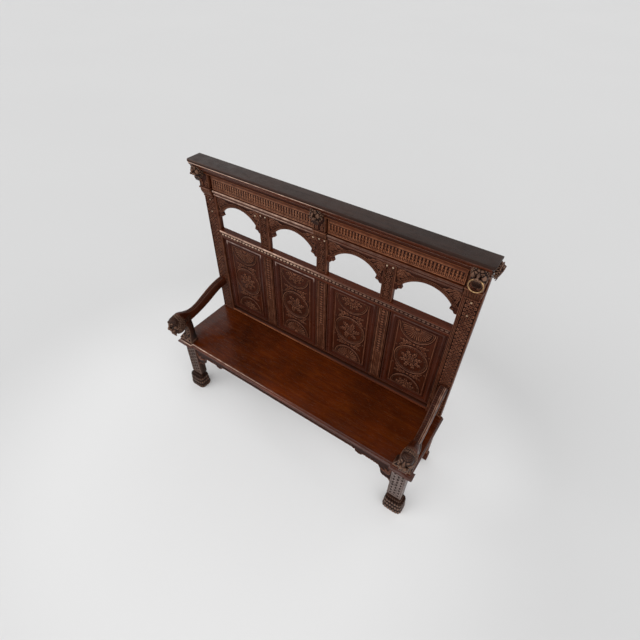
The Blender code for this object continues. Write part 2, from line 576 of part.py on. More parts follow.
# ------------------------------------------------------------- pegs of the stiles
PEG_R = 0.0048
for side, s in SIDES:
    for tag, px, pz in (("upper", 0.803, 1.321), ("lower", 0.803, 1.243)):
        n = 14
        pts = [(s * px + PEG_R * math.cos(2 * math.pi * k / n), pz + PEG_R * math.sin(2 * math.pi * k / n)) for k in range(n)]
        cts = [(s * px + (PEG_R + 0.0003) * math.cos(2 * math.pi * k / n),
                pz + (PEG_R + 0.0003) * math.sin(2 * math.pi * k / n)) for k in range(n)]
        prism("peg_%s_%s" % (side, tag), pts, "y", F - 0.0016, F + 0.020, smooth=True)
        prism("cut_peg_%s_%s" % (side, tag), cts, "y", F - 0.01, F + 0.021, cutter=True)
        cut("stile_" + side, "cut_peg_%s_%s" % (side, tag))
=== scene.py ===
"""High-back hall bench in carved oak, on a plain pale floor."""
import math

import bmesh
import bpy
import numpy as np
from mathutils import Matrix, Vector


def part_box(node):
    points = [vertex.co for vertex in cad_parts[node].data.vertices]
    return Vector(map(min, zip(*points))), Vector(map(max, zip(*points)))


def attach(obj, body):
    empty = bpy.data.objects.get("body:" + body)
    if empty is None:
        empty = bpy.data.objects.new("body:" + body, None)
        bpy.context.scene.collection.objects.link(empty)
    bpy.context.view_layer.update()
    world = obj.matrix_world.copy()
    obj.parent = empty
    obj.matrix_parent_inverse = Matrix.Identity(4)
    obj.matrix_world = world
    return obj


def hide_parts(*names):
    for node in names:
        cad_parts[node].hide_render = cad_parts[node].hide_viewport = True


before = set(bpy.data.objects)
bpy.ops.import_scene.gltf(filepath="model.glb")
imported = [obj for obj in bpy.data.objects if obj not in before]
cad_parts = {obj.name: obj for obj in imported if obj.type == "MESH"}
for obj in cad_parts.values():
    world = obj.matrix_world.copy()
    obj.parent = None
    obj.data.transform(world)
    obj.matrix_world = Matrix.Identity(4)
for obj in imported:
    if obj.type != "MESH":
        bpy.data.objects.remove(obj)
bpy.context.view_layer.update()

scene = bpy.context.scene
PI = math.pi

# The front plane of the stiles and the back plane of the frame.
F = 0.2270
BACK = F + 0.0320

BAYS = [(-0.756, -0.42825), (-0.36275, -0.03275), (0.03275, 0.36275), (0.42825, 0.756)]
MUNTINS = [(-0.42825, -0.36275), (-0.03275, 0.03275), (0.36275, 0.42825)]
NAMES3 = ("left", "centre", "right")
SIDES = (("left", -1.0), ("right", 1.0))

# ------------------------------------------------------------------ materials


def socket(node, name, value):
    node.inputs[name].default_value = value


class Tree:
    """Short hand for building a node tree."""

    def __init__(self, mat):
        mat.use_nodes = True
        self.t = mat.node_tree
        self.bsdf = self.t.nodes["Principled BSDF"]

    def node(self, kind, **props):
        n = self.t.nodes.new(kind)
        for k, v in props.items():
            setattr(n, k, v)
        return n

    def link(self, a, b):
        self.t.links.new(a, b)

    def feed(self, inp, v):
        if isinstance(v, bpy.types.NodeSocket):
            self.link(v, inp)
        else:
            inp.default_value = v

    def math(self, op, a, b=0.0, c=None, clamp=False):
        n = self.node("ShaderNodeMath", operation=op, use_clamp=clamp)
        self.feed(n.inputs[0], a)
        self.feed(n.inputs[1], b)
        if c is not None:
            self.feed(n.inputs[2], c)
        return n.outputs[0]

    def mix(self, fac, a, b, blend="MIX"):
        n = self.node("ShaderNodeMix", data_type="RGBA", blend_type=blend)
        self.feed(n.inputs[0], fac)
        self.feed(n.inputs[6], a)
        self.feed(n.inputs[7], b)
        return n.outputs[2]

    def remap(self, v, a, b, c=0.0, d=1.0, smooth=False):
        n = self.node("ShaderNodeMapRange")
        if smooth:
            n.interpolation_type = "SMOOTHSTEP"
        self.feed(n.inputs["Value"], v)
        for k, val in (("From Min", a), ("From Max", b), ("To Min", c), ("To Max", d)):
            n.inputs[k].default_value = val
        return n.outputs["Result"]

    def noise(self, vec, scale, detail=3.0, rough=0.55, distortion=0.0):
        n = self.node("ShaderNodeTexNoise")
        self.link(vec, n.inputs["Vector"])
        socket(n, "Scale", scale)
        socket(n, "Detail", detail)
        socket(n, "Roughness", rough)
        socket(n, "Distortion", distortion)
        return n.outputs["Fac"]

    def stretch(self, vec, s):
        n = self.node("ShaderNodeMapping")
        self.link(vec, n.inputs["Vector"])
        n.inputs["Scale"].default_value = s
        return n.outputs["Vector"]

    def bump(self, height, dist, normal=None, strength=1.0):
        n = self.node("ShaderNodeBump")
        socket(n, "Distance", dist)
        socket(n, "Strength", strength)
        self.link(height, n.inputs["Height"])
        if normal is not None:
            self.link(normal, n.inputs["Normal"])
        return n.outputs["Normal"]


def oak(name, axis, dark, mid, light, worn_and_lit, rough=0.36, rays=0.0, abrasion_and_light=1.0, coat=0.25, dust=0.0, spec=0.5, figure=0.5,
        blot=1.0):
    """Stained and waxed oak with its grain along `axis`.

    The vertex attribute runs from -1 in the hollows, where it paints shade together with grime, to 1 on the arrises,
    where it paints abrasion together with a highlight.
    """
    m = bpy.data.materials.new(name)
    t = Tree(m)
    tc = t.node("ShaderNodeTexCoord")
    info = t.node("ShaderNodeObjectInfo")
    jump = t.node("ShaderNodeVectorMath", operation="MULTIPLY_ADD")
    t.link(info.outputs["Random"], jump.inputs[0])
    jump.inputs[1].default_value = (7.3, 11.9, 5.7)
    t.link(tc.outputs["Object"], jump.inputs[2])
    vec = jump.outputs[0]
    k = "xyz".index(axis)

    def along(f):
        s = [1.0, 1.0, 1.0]
        s[k] = f
        return t.stretch(vec, s)

    bands = t.noise(along(0.06), 46.0, 5.0, 0.62, 0.35)
    fibre = t.noise(along(0.022), 330.0, 2.0, 0.6)
    pores = t.noise(along(0.035), 620.0, 1.0, 0.5)
    rings_n = t.noise(along(0.10), 5.0, 2.0, 0.5, 0.6)
    rings = t.math("SINE", t.math("MULTIPLY", rings_n, 95.0))
    blotch = t.noise(vec, 3.1, 3.0, 0.6)
    grime = t.noise(vec, 26.0, 4.0, 0.6)

    g = t.math("ADD", t.math("MULTIPLY", bands, 0.70), t.math("MULTIPLY", fibre, 0.30))
    g = t.math("ADD", g, t.math("MULTIPLY", rings, 0.045))
    ramp = t.node("ShaderNodeValToRGB")
    t.link(g, ramp.inputs[0])
    e = ramp.color_ramp.elements
    e[0].position, e[0].color = 0.5 - 0.16 / figure, (*dark, 1)
    e[1].position, e[1].color = 0.5 + 0.16 / figure, (*light, 1)
    em = e.new(0.50)
    em.color = (*mid, 1)
    col = ramp.outputs[0]
    shade = t.remap(blotch, 0.30, 0.72, 1.0 - 0.30 * blot, 1.0 + 0.28 * blot)
    col = t.mix(1.0, col, shade, "MULTIPLY")
    pore = t.remap(pores, 0.60, 0.70, 0.0, 1.0)
    col = t.mix(t.math("MULTIPLY", pore, 0.55), col, (dark[0] * 0.35, dark[1] * 0.35, dark[2] * 0.35, 1))
    ray = None
    if rays:
        # silver grain: pale flecks across the grain
        s = [1.0, 1.0, 1.0]
        s[k] = 0.42
        fl = t.noise(t.stretch(vec, s), 78.0, 1.5, 0.45, 0.9)
        ray = t.remap(fl, 0.60, 0.68, 0.0, rays)
        col = t.mix(ray, col, (*[min(c * 1.5, 1) for c in light], 1))
    wear_and_light = t.node("ShaderNodeAttribute", attribute_name="wear_and_light")
    c = wear_and_light.outputs["Fac"]
    # painted shade with grime: the hollows are darkened towards a deep tone, varied by the grime noise
    deep = t.remap(c, -0.75, 0.02, 1.0, 0.0, True)
    deep = t.math("MULTIPLY", deep, t.remap(grime, 0.3, 0.7, 0.72, 1.0))
    col = t.mix(t.math("MULTIPLY", deep, 0.80), col, (dark[0] * 0.16, dark[1] * 0.20, dark[2] * 0.24, 1))
    # abrasion with painted highlight: arrises and high spots are lightened towards the palette's last colour
    high = t.remap(c, 0.16, 0.85, 0.0, 1.0, True)
    high = t.math("MULTIPLY", high, t.remap(grime, 0.28, 0.66, 0.25, 1.0))
    high = t.math("MULTIPLY", high, abrasion_and_light, clamp=True)
    col = t.mix(t.math("MULTIPLY", high, 0.72), col, (*worn_and_lit, 1))
    r = t.math("ADD", t.remap(grime, 0.25, 0.75, rough - 0.07, rough + 0.09), t.math("MULTIPLY", deep, 0.22))
    r = t.math("SUBTRACT", r, t.math("MULTIPLY", high, 0.09))
    r = t.math("ADD", r, t.math("MULTIPLY", pore, 0.18))
    if dust:
        geo = t.node("ShaderNodeNewGeometry")
        sep = t.node("ShaderNodeSeparateXYZ")
        t.link(geo.outputs["Normal"], sep.inputs[0])
        up = t.remap(sep.outputs["Z"], 0.55, 0.98, 0.0, 1.0, True)
        lay = t.math("MULTIPLY", up, t.remap(t.noise(vec, 11.0, 5.0, 0.68), 0.30, 0.74, 0.35 * dust, dust))
        col = t.mix(lay, col, (0.145, 0.118, 0.104, 1))
        r = t.math("ADD", r, t.math("MULTIPLY", lay, 0.35))
    t.link(col, t.bsdf.inputs["Base Color"])
    t.link(r, t.bsdf.inputs["Roughness"])
    socket(t.bsdf, "Specular IOR Level", spec)
    socket(t.bsdf, "Coat Weight", coat)
    socket(t.bsdf, "Coat Roughness", 0.22)
    socket(t.bsdf, "Coat IOR", 1.45)
    h = t.math("SUBTRACT", t.math("MULTIPLY", bands, 0.5), t.math("MULTIPLY", pore, 0.8))
    h = t.math("ADD", h, t.math("MULTIPLY", fibre, 0.35))
    n = t.bump(h, 0.00022, strength=0.8)
    n = t.bump(grime, 0.0005, n, strength=0.35)
    t.link(n, t.bsdf.inputs["Normal"])
    return m


# The last colour of each palette is what arrises and high spots turn to: abrasion together with a painted highlight.
FRAME = dict(dark=(0.0210, 0.0036, 0.0009), mid=(0.0570, 0.0104, 0.0022), light=(0.0980, 0.0215, 0.0044),
             worn_and_lit=(0.2700, 0.1000, 0.0420))
CARVE = dict(dark=(0.0150, 0.0032, 0.0013), mid=(0.0390, 0.0078, 0.0026), light=(0.0660, 0.0150, 0.0052),
             worn_and_lit=(0.1950, 0.0800, 0.0440))
# Its pale last colour paints the highlight on the panel frames' head bevel.
MOULD = dict(dark=(0.0180, 0.0032, 0.0011), mid=(0.0430, 0.0076, 0.0022), light=(0.0670, 0.0138, 0.0040),
             worn_and_lit=(0.4400, 0.3150, 0.2700))
# The right leg's pale greyish palette is the oak's colour with a painted reflection mixed in; the next palette is a
# darker copy for the left leg: painted shade.
LEG_PALE_SHEEN = dict(dark=(0.0220, 0.0120, 0.0095), mid=(0.0600, 0.0375, 0.0315), light=(0.0980, 0.0690, 0.0600),
           worn_and_lit=(0.3300, 0.2550, 0.2300))
LEG_LEFT_SHADED = dict(dark=(0.0100, 0.0038, 0.0024), mid=(0.0250, 0.0104, 0.0066), light=(0.0440, 0.0205, 0.0138),
                worn_and_lit=(0.2100, 0.1360, 0.1080))
LIMB = dict(dark=(0.0080, 0.0024, 0.0012), mid=(0.0240, 0.0072, 0.0034), light=(0.0450, 0.0155, 0.0082),
            worn_and_lit=(0.2500, 0.1380, 0.0900))
# Frame colours with a bright last colour: painted glints on the sill beads.
GLINT = dict(dark=(0.0210, 0.0036, 0.0009), mid=(0.0570, 0.0104, 0.0022), light=(0.0980, 0.0215, 0.0044),
             worn_and_lit=(0.7200, 0.4900, 0.3500))
# The seat's nearly white last colour is mostly the painted highlight along its nosing.
SEAT = dict(dark=(0.0320, 0.0048, 0.0006), mid=(0.0700, 0.0112, 0.0011), light=(0.1250, 0.0280, 0.0026),
            worn_and_lit=(0.9000, 0.6400, 0.4900))
TOPC = dict(dark=(0.0100, 0.0036, 0.0020), mid=(0.0210, 0.0078, 0.0042), light=(0.0350, 0.0135, 0.0075),
            worn_and_lit=(0.3400, 0.2000, 0.1400))

M = {}
for _ax in "xyz":
    M["frame_" + _ax] = oak("oak_frame_" + _ax, _ax, **FRAME, rough=0.30, rays=0.12, coat=0.0, spec=0.09, figure=0.45)
    M["carved_" + _ax] = oak("oak_carved_" + _ax, _ax, **CARVE, rough=0.32, rays=0.0, coat=0.0, spec=0.08, figure=0.45)
M["carved_moulding"] = oak("oak_moulding", "z", **MOULD, rough=0.30, rays=0.06, coat=0.0, spec=0.10, figure=0.40)
# the left frieze takes a lighter last colour than the right one: painted highlight on the left, painted shade on the
# right
M["carved_frieze"] = oak("oak_frieze_lit_left", "x", **{**FRAME, "worn_and_lit": (0.3400, 0.1500, 0.0800)}, rough=0.28, rays=0.0, coat=0.0,
                         spec=0.13, figure=0.45)
M["carved_frieze_r"] = oak("oak_frieze_shaded_right", "x", **{**FRAME, "worn_and_lit": (0.3100, 0.1200, 0.0560)}, rough=0.28, rays=0.0, coat=0.0,
                           spec=0.11, figure=0.45)
M["leg"] = oak("oak_leg_pale_sheen", "z", **LEG_PALE_SHEEN, rough=0.34, coat=0.0, spec=0.20, figure=0.50)
M["limb"] = oak("oak_limb", "z", **LIMB, rough=0.30, coat=0.0, spec=0.12, figure=0.50)
M["limb_y"] = oak("oak_limb_y", "y", **{**CARVE, "worn_and_lit": (0.3500, 0.1950, 0.1350)}, rough=0.28, coat=0.0, spec=0.13,
                  figure=0.50)
M["leg_left"] = oak("oak_leg_left_shaded", "z", **LEG_LEFT_SHADED, rough=0.34, coat=0.0, spec=0.08, figure=0.50)
M["carved_glint"] = oak("oak_beads", "x", **GLINT, rough=0.28, coat=0.0, spec=0.20, figure=0.50)
M["seat"] = oak("oak_seat", "x", **SEAT, rough=0.14, rays=0.16, coat=0.0, spec=0.36, figure=0.42, blot=1.6)
M["top"] = oak("oak_top", "x", **TOPC, rough=0.36, rays=0.12, coat=0.0, dust=0.05, spec=0.14)
# Frame colours with a bright last colour: painted highlights on the cornice fillet, the frieze string and the sill, on
# their left halves.
M["crown"] = oak("oak_crown", "x", **{**FRAME, "worn_and_lit": (0.7800, 0.5300, 0.4100)}, rough=0.30, rays=0.12, coat=0.0, spec=0.13,
                 figure=0.45)


def brass(name):
    m = bpy.data.materials.new(name)
    t = Tree(m)
    tc = t.node("ShaderNodeTexCoord")
    vec = tc.outputs["Object"]
    n1 = t.noise(vec, 140.0, 4.0, 0.6)
    n2 = t.noise(vec, 900.0, 2.0, 0.5)
    wear_and_light = t.node("ShaderNodeAttribute", attribute_name="wear_and_light")
    fac = t.math("ADD", t.remap(n1, 0.35, 0.7, 0.0, 0.85), t.math("MULTIPLY", wear_and_light.outputs["Fac"], -0.3), clamp=True)
    col = t.mix(fac, (0.46, 0.29, 0.145, 1), (0.150, 0.070, 0.030, 1))
    t.link(col, t.bsdf.inputs["Base Color"])
    socket(t.bsdf, "Metallic", 1.0)
    t.link(t.remap(n1, 0.3, 0.75, 0.24, 0.46), t.bsdf.inputs["Roughness"])
    t.link(t.bump(n2, 0.0001, strength=0.5), t.bsdf.inputs["Normal"])
    return m


M["brass"] = brass("aged_brass")

# ----------------------------------------------------------------- mesh tools


def edge_arrays(me):
    n = len(me.vertices)
    co = np.empty(n * 3, np.float32)
    me.vertices.foreach_get("co", co)
    no = np.empty(n * 3, np.float32)
    me.vertex_normals.foreach_get("vector", no)
    e = np.empty(len(me.edges) * 2, np.int32)
    me.edges.foreach_get("vertices", e)
    return co.reshape(-1, 3).astype(float), no.reshape(-1, 3).astype(float), e.reshape(-1, 2)


def curvature(me, reach=0.007, passes=2):
    """How convex (1) or hollow (-1) the surface is at each vertex."""
    co, no, e = edge_arrays(me)
    n = len(co)
    L = np.linalg.norm(co[e[:, 0]] - co[e[:, 1]], axis=1)
    e = e[L < reach]
    L = L[L < reach]
    if len(e) == 0:
        return np.zeros(n)
    deg = np.bincount(e.ravel(), minlength=n).astype(float) + 1e-9

    def spread(f):
        return (np.bincount(e[:, 0], f[e[:, 1]], n) + np.bincount(e[:, 1], f[e[:, 0]], n)) / deg

    mean = np.stack([spread(co[:, k]) for k in range(3)], 1)
    c = -np.einsum("ij,ij->i", mean - co, no) / (L.mean() + 1e-9)
    c[deg < 1.5] = 0
    out = np.zeros(n)
    w = 1.0
    for _ in range(passes + 1):
        out += c * w
        for _k in range(3):
            c = 0.5 * c + 0.5 * spread(c)
        w *= 2.4
    return np.clip(out * 3.2, -1, 1)


def put(name, V, Q, mat, node=None, ngons=(), wear_and_light=None, body="bench", sharp=38.0, curv=1.0, reach=0.007, unseen=0):
    """Make a mesh piece, give it its attribute of abrasion with painted highlight and painted shade, and tie it to the
    frame.

    The last `unseen` points bound a plain back and get neither abrasion nor painted light, only one flat, slightly dark
    value.
    """
    V = np.asarray(V, float)
    Q = np.asarray(Q, np.int32).reshape(-1, 4)
    me = bpy.data.meshes.new(name)
    loops = [Q.ravel()] + [np.asarray(g, np.int32) for g in ngons]
    starts = list(range(0, 4 * len(Q), 4))
    at = 4 * len(Q)
    for g in ngons:
        starts.append(at)
        at += len(g)
    loops = np.concatenate(loops).astype(np.int32)
    me.vertices.add(len(V))
    me.vertices.foreach_set("co", V.astype(np.float32).ravel())
    me.loops.add(len(loops))
    me.loops.foreach_set("vertex_index", loops)
    me.polygons.add(len(starts))
    me.polygons.foreach_set("loop_start", np.array(starts, np.int32))
    me.update(calc_edges=True)
    me.validate()
    ob = bpy.data.objects.new(name, me)
    scene.collection.objects.link(ob)
    me.materials.append(M[mat])
    # curvature paints abrasion with a highlight on convex bends and shade in the hollows
    abrasion_and_light = curvature(me, reach) * curv
    if wear_and_light is not None:
        abrasion_and_light = np.clip(abrasion_and_light + wear_and_light, -1, 1)
    if unseen:
        abrasion_and_light[-unseen:] = -0.12
    a = me.attributes.new("wear_and_light", "FLOAT", "POINT")
    a.data.foreach_set("value", abrasion_and_light.astype(np.float32))
    me.shade_smooth()
    me.set_sharp_from_angle(angle=math.radians(sharp))
    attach(ob, body)
    if node:
        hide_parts(*([node] if isinstance(node, str) else node))
    return ob


def flip(V, Q, ngons=()):
    """The same body mirrored in the plane x = 0."""
    V = np.array(V, float)
    V[:, 0] *= -1
    return V, np.asarray(Q)[:, ::-1], [list(g)[::-1] for g in ngons]


def grid_quads(nz, nx):
    i, j = np.meshgrid(np.arange(nz - 1), np.arange(nx - 1), indexing="ij")
    a = (i * nx + j).ravel()
    return np.stack([a, a + 1, a + nx + 1, a + nx], 1)


def slab_data(X, Z, Y, yb):
    """Closed body: a carved front given as a grid, straight sides and a flat back."""
    nz, nx = X.shape
    V = np.stack([X, Y, Z], -1).reshape(-1, 3)
    Q = grid_quads(nz, nx)
    idx = np.arange(nz * nx).reshape(nz, nx)
    loop = np.concatenate([idx[0, :-1], idx[:-1, -1], idx[-1, :0:-1], idx[:0:-1, 0]])
    n = len(loop)
    B = V[loop].copy()
    B[:, 1] = yb
    base = len(V)
    k = np.arange(n)
    k1 = (k + 1) % n
    walls = np.stack([loop[k], base + k, base + k1, loop[k1]], 1)
    return np.concatenate([V, B]), np.concatenate([Q, walls]), [list(base + k[::-1])]


def ticks(a, b, step, fine=(0.0, 0.0004, 0.0010, 0.0020)):
    fine = np.array(fine)
    n = max(2, int(round((b - a - 2 * fine[-1]) / step)))
    inner = np.linspace(a + fine[-1], b - fine[-1], n + 1)
    return np.concatenate([a + fine[:-1], inner, (b - fine[:-1])[::-1]])


def arris(d, r):
    """How far a rounded edge of radius r drops at distance d inside it."""
    t = np.clip(d, 0, r)
    return r - np.sqrt(np.clip(r * r - (r - t) ** 2, 0, None))


def edge_distance(X, Z):
    x0, x1, z0, z1 = X.min(), X.max(), Z.min(), Z.max()
    return np.minimum(np.minimum(X - x0, x1 - X), np.minimum(Z - z0, z1 - Z))


def step(a, b, x):
    t = np.clip((x - a) / (b - a), 0, 1)
    return t * t * (3 - 2 * t)


def dome(d, w):
    return np.sqrt(np.clip(1 - (d / w) ** 2, 0, 1))


def ridge(d, w):
    return np.clip(1 - (d / w) ** 2, 0, 1)


def level(h, lo, hi, k=0.55):
    """From the height of a relief: painted shade on the low ground, abrasion with a painted highlight on the tops."""
    return (np.clip((h - lo) / (hi - lo), 0, 1) * 2 - 1) * k


def chance(a, b):
    """Repeatable number from 0 to 1 for each pair of whole numbers."""
    v = np.sin(a * 12.9898 + b * 78.233) * 43758.5453
    return v - np.floor(v)


def slab(name, mat, node, xs, zs, height, yf, yb, side=1.0, lo=-0.003, hi=0.003, k=0.55, flank=0.0, more=None, **kw):
    """Carved board: `height(X, Z)` stands out of the plane y = yf."""
    X, Z = np.meshgrid(xs, zs)
    H = height(X, Z)
    V, Q, N = slab_data(X, Z, yf - H, yb)
    wear_and_light = np.full(len(V), float(flank))
    wear_and_light[:H.size] = (level(H, lo, hi, k) + (0.0 if more is None else more(X, Z))).ravel()
    if side < 0:
        V, Q, N = flip(V, Q, N)
    return put(name, V, Q, mat, node, N, wear_and_light, unseen=len(V) - H.size, **kw)


def lit_from_left(x):
    """Strength of the painted highlights along x: full on the left half, which faces the light, and next to none on the
    right.
    """
    return float(np.interp(x, [-0.80, -0.30, 0.15, 0.80], [1.0, 0.85, 0.10, 0.0]))


def prism_x(name, mat, node, prof, x0, x1, nx=2, shade=None, highlight_by_x=None, **kw):
    """Moulding along x from a closed outline of (y, z) points, anticlockwise seen from +x."""
    prof = np.array(prof, float)
    area = 0.5 * np.sum(prof[:, 0] * np.roll(prof[:, 1], -1) - np.roll(prof[:, 0], -1) * prof[:, 1])
    shade = np.zeros(len(prof)) if shade is None else np.array(shade, float)
    if area < 0:
        prof, shade = prof[::-1], shade[::-1]
    m = len(prof)
    xs = np.linspace(x0, x1, nx)
    V = np.concatenate([np.column_stack([np.full(m, x), prof]) for x in xs])
    i, j = np.meshgrid(np.arange(nx - 1), np.arange(m), indexing="ij")
    a = (i * m + j).ravel()
    b = (i * m + (j + 1) % m).ravel()
    Q = np.stack([a, b, b + m, a + m], 1)[:, ::-1]
    N = [list(range(m))[::-1], list((nx - 1) * m + np.arange(m))]
    # abrasion with painted highlight from the outward bends of the outline, painted shade from its inward ones; `shade`
    # adds more painted highlight and shade, and a falloff along x scales only its highlights
    e1 = prof - np.roll(prof, 1, 0)
    e2 = np.roll(prof, -1, 0) - prof
    turn = np.arctan2(e1[:, 0] * e2[:, 1] - e1[:, 1] * e2[:, 0], (e1 * e2).sum(1))
    wear_and_light = []
    for x in xs:
        c = turn * 1.1 + shade
        if highlight_by_x:
            c = turn * 0.45 + np.where(shade > 0, shade * highlight_by_x(x), shade)
        c = np.clip(c, -1.0, 1.0)
        wear_and_light.append(np.where(prof[:, 0] > prof[:, 0].max() - 1e-6, -0.12, c))
    return put(name, V, Q, mat, node, N, np.concatenate(wear_and_light), curv=0.0, **kw)


def rounded_box(name, mat, node, lo, hi, r=0.002, seg=3, **kw):
    bm = bmesh.new()
    bmesh.ops.create_cube(bm, size=1.0)
    for v in bm.verts:
        v.co = Vector([lo[k] if v.co[k] < 0 else hi[k] for k in range(3)])
    bmesh.ops.bevel(bm, geom=bm.edges[:], offset=r, segments=seg, profile=0.5, affect="EDGES")
    bm.normal_update()
    V = np.array([v.co[:] for v in bm.verts])
    bm.verts.index_update()
    polys = [[v.index for v in f.verts] for f in bm.faces]
    bm.free()
    lo, hi = np.array(lo), np.array(hi)
    on = ((np.abs(V - lo) < 1e-6) | (np.abs(V - hi) < 1e-6)).sum(1)
    wear_and_light = np.where(on == 0, 0.9, np.where(on == 1, 0.0, 0.0))
    near = ((V - lo < r * 0.6) | (hi - V < r * 0.6)).sum(1)
    wear_and_light = np.where(near >= 2, 0.85, 0.0)
    return put(name, V, [p for p in polys if len(p) == 4], mat, node, [p for p in polys if len(p) != 4], wear_and_light,
               curv=0.0, **kw)


def smooth_profile(pts, n=4):
    """Points with rounded corners: each corner cut twice."""
    P = np.array(pts, float)
    for _ in range(n):
        a = P * 0.75 + np.roll(P, -1, 0) * 0.25
        b = P * 0.25 + np.roll(P, -1, 0) * 0.75
        P = np.stack([a, b], 1).reshape(-1, 2)
    return P


# ------------------------------------------------------------- carved motifs


def leaf(X, Z, x, z, ang, L, W, h, lobes=4, bend=0.0):
    """Carved leaf from its foot (x, z) towards the angle ang."""
    c, s = math.cos(ang), math.sin(ang)
    u = ((X - x) * c + (Z - z) * s) / L
    v = -(X - x) * s + (Z - z) * c
    v = v - bend * L * u * u
    uu = np.clip(u, 0, 1)
    w = W * np.sin(PI * uu ** 0.72) ** 0.8 * (1 + 0.20 * np.cos(2 * PI * lobes * uu)) + 1e-6
    t = 1 - (v / w) ** 2
    hh = h * np.sqrt(np.clip(t, 0, 1)) * (0.45 + 0.55 * np.sin(PI * np.clip(uu * 0.9 + 0.1, 0, 1)))
    hh = hh - 0.38 * h * np.exp(-((v / (0.11 * W)) ** 2))
    vein = (0.5 + 0.5 * np.cos(2 * PI * (lobes * uu - np.abs(v) / W * 0.9))) ** 5
    hh = hh - 0.26 * h * vein * (np.abs(v) > 0.14 * W)
    return np.where((u > 0) & (u < 1) & (t > 0), np.maximum(hh, 0.08 * h), 0.0)


def fan(X, Z, cx, cz, R, a0, a1, n, h, inner=0.2):
    """Petals spread round a centre."""
    r = np.hypot(X - cx, Z - cz)
    t = ((np.arctan2(Z - cz, X - cx) - a0) % (2 * PI)) / (a1 - a0)
    f = (t * n) % 1.0
    lobe = np.sqrt(np.clip(1 - (2 * f - 1) ** 2, 0, 1))
    edge = R * (0.86 + 0.14 * lobe)
    env = step(inner * R * 0.8, inner * R * 1.25, r) * (1 - step(edge * 0.94, edge, r))
    hollow = 1 - 0.55 * np.exp(-(((f - 0.5) / 0.16) ** 2)) * step(inner * R, 0.5 * R, r)
    return np.where((t <= 1) & (r < R), h * env * (0.25 + 0.75 * lobe) * hollow, 0.0)


def ringline(X, Z, cx, cz, R, w, h):
    return h * dome(np.hypot(X - cx, Z - cz) - R, w)


def boss(X, Z, cx, cz, R, h):
    return h * dome(np.hypot(X - cx, Z - cz), R)


def beads_on_arc(X, Z, cx, cz, R, pitch, w, h):
    r = np.hypot(X - cx, Z - cz)
    a = np.arctan2(Z - cz, X - cx) * R / pitch
    d = np.hypot((a - np.floor(a) - 0.5) * pitch, r - R)
    return h * dome(d, w)


def capsule(X, Z, x0, z0, x1, z1):
    """Distance to a straight stroke."""
    dx, dz = x1 - x0, z1 - z0
    t = np.clip(((X - x0) * dx + (Z - z0) * dz) / (dx * dx + dz * dz + 1e-12), 0, 1)
    return np.hypot(X - x0 - t * dx, Z - z0 - t * dz)


def stipple(X, Z, p=0.0042):
    """Punched ground."""
    return 0.0005 * np.cos(2 * PI * X / p) * np.cos(2 * PI * Z / p)


def rosette(X, Z, cx, cz, R, n, h, turn=0.0):
    r = np.hypot(X - cx, Z - cz)
    a = (np.arctan2(Z - cz, X - cx) + turn) * n / (2 * PI)
    f = a - np.floor(a)
    lobe = np.sqrt(np.clip(1 - (2 * f - 1) ** 2, 0, 1))
    env = np.clip(1 - (r / (R * (0.80 + 0.20 * lobe))) ** 4, 0, 1)
    hh = h * env * (0.25 + 0.75 * lobe) * (0.55 + 0.45 * step(0.0, R * 0.7, r))
    return np.maximum(hh, boss(X, Z, cx, cz, 0.24 * R, h * 1.15))


# ------------------------------------------------------------ panels and frames
FZ0, FZ1 = 0.545, 1.030


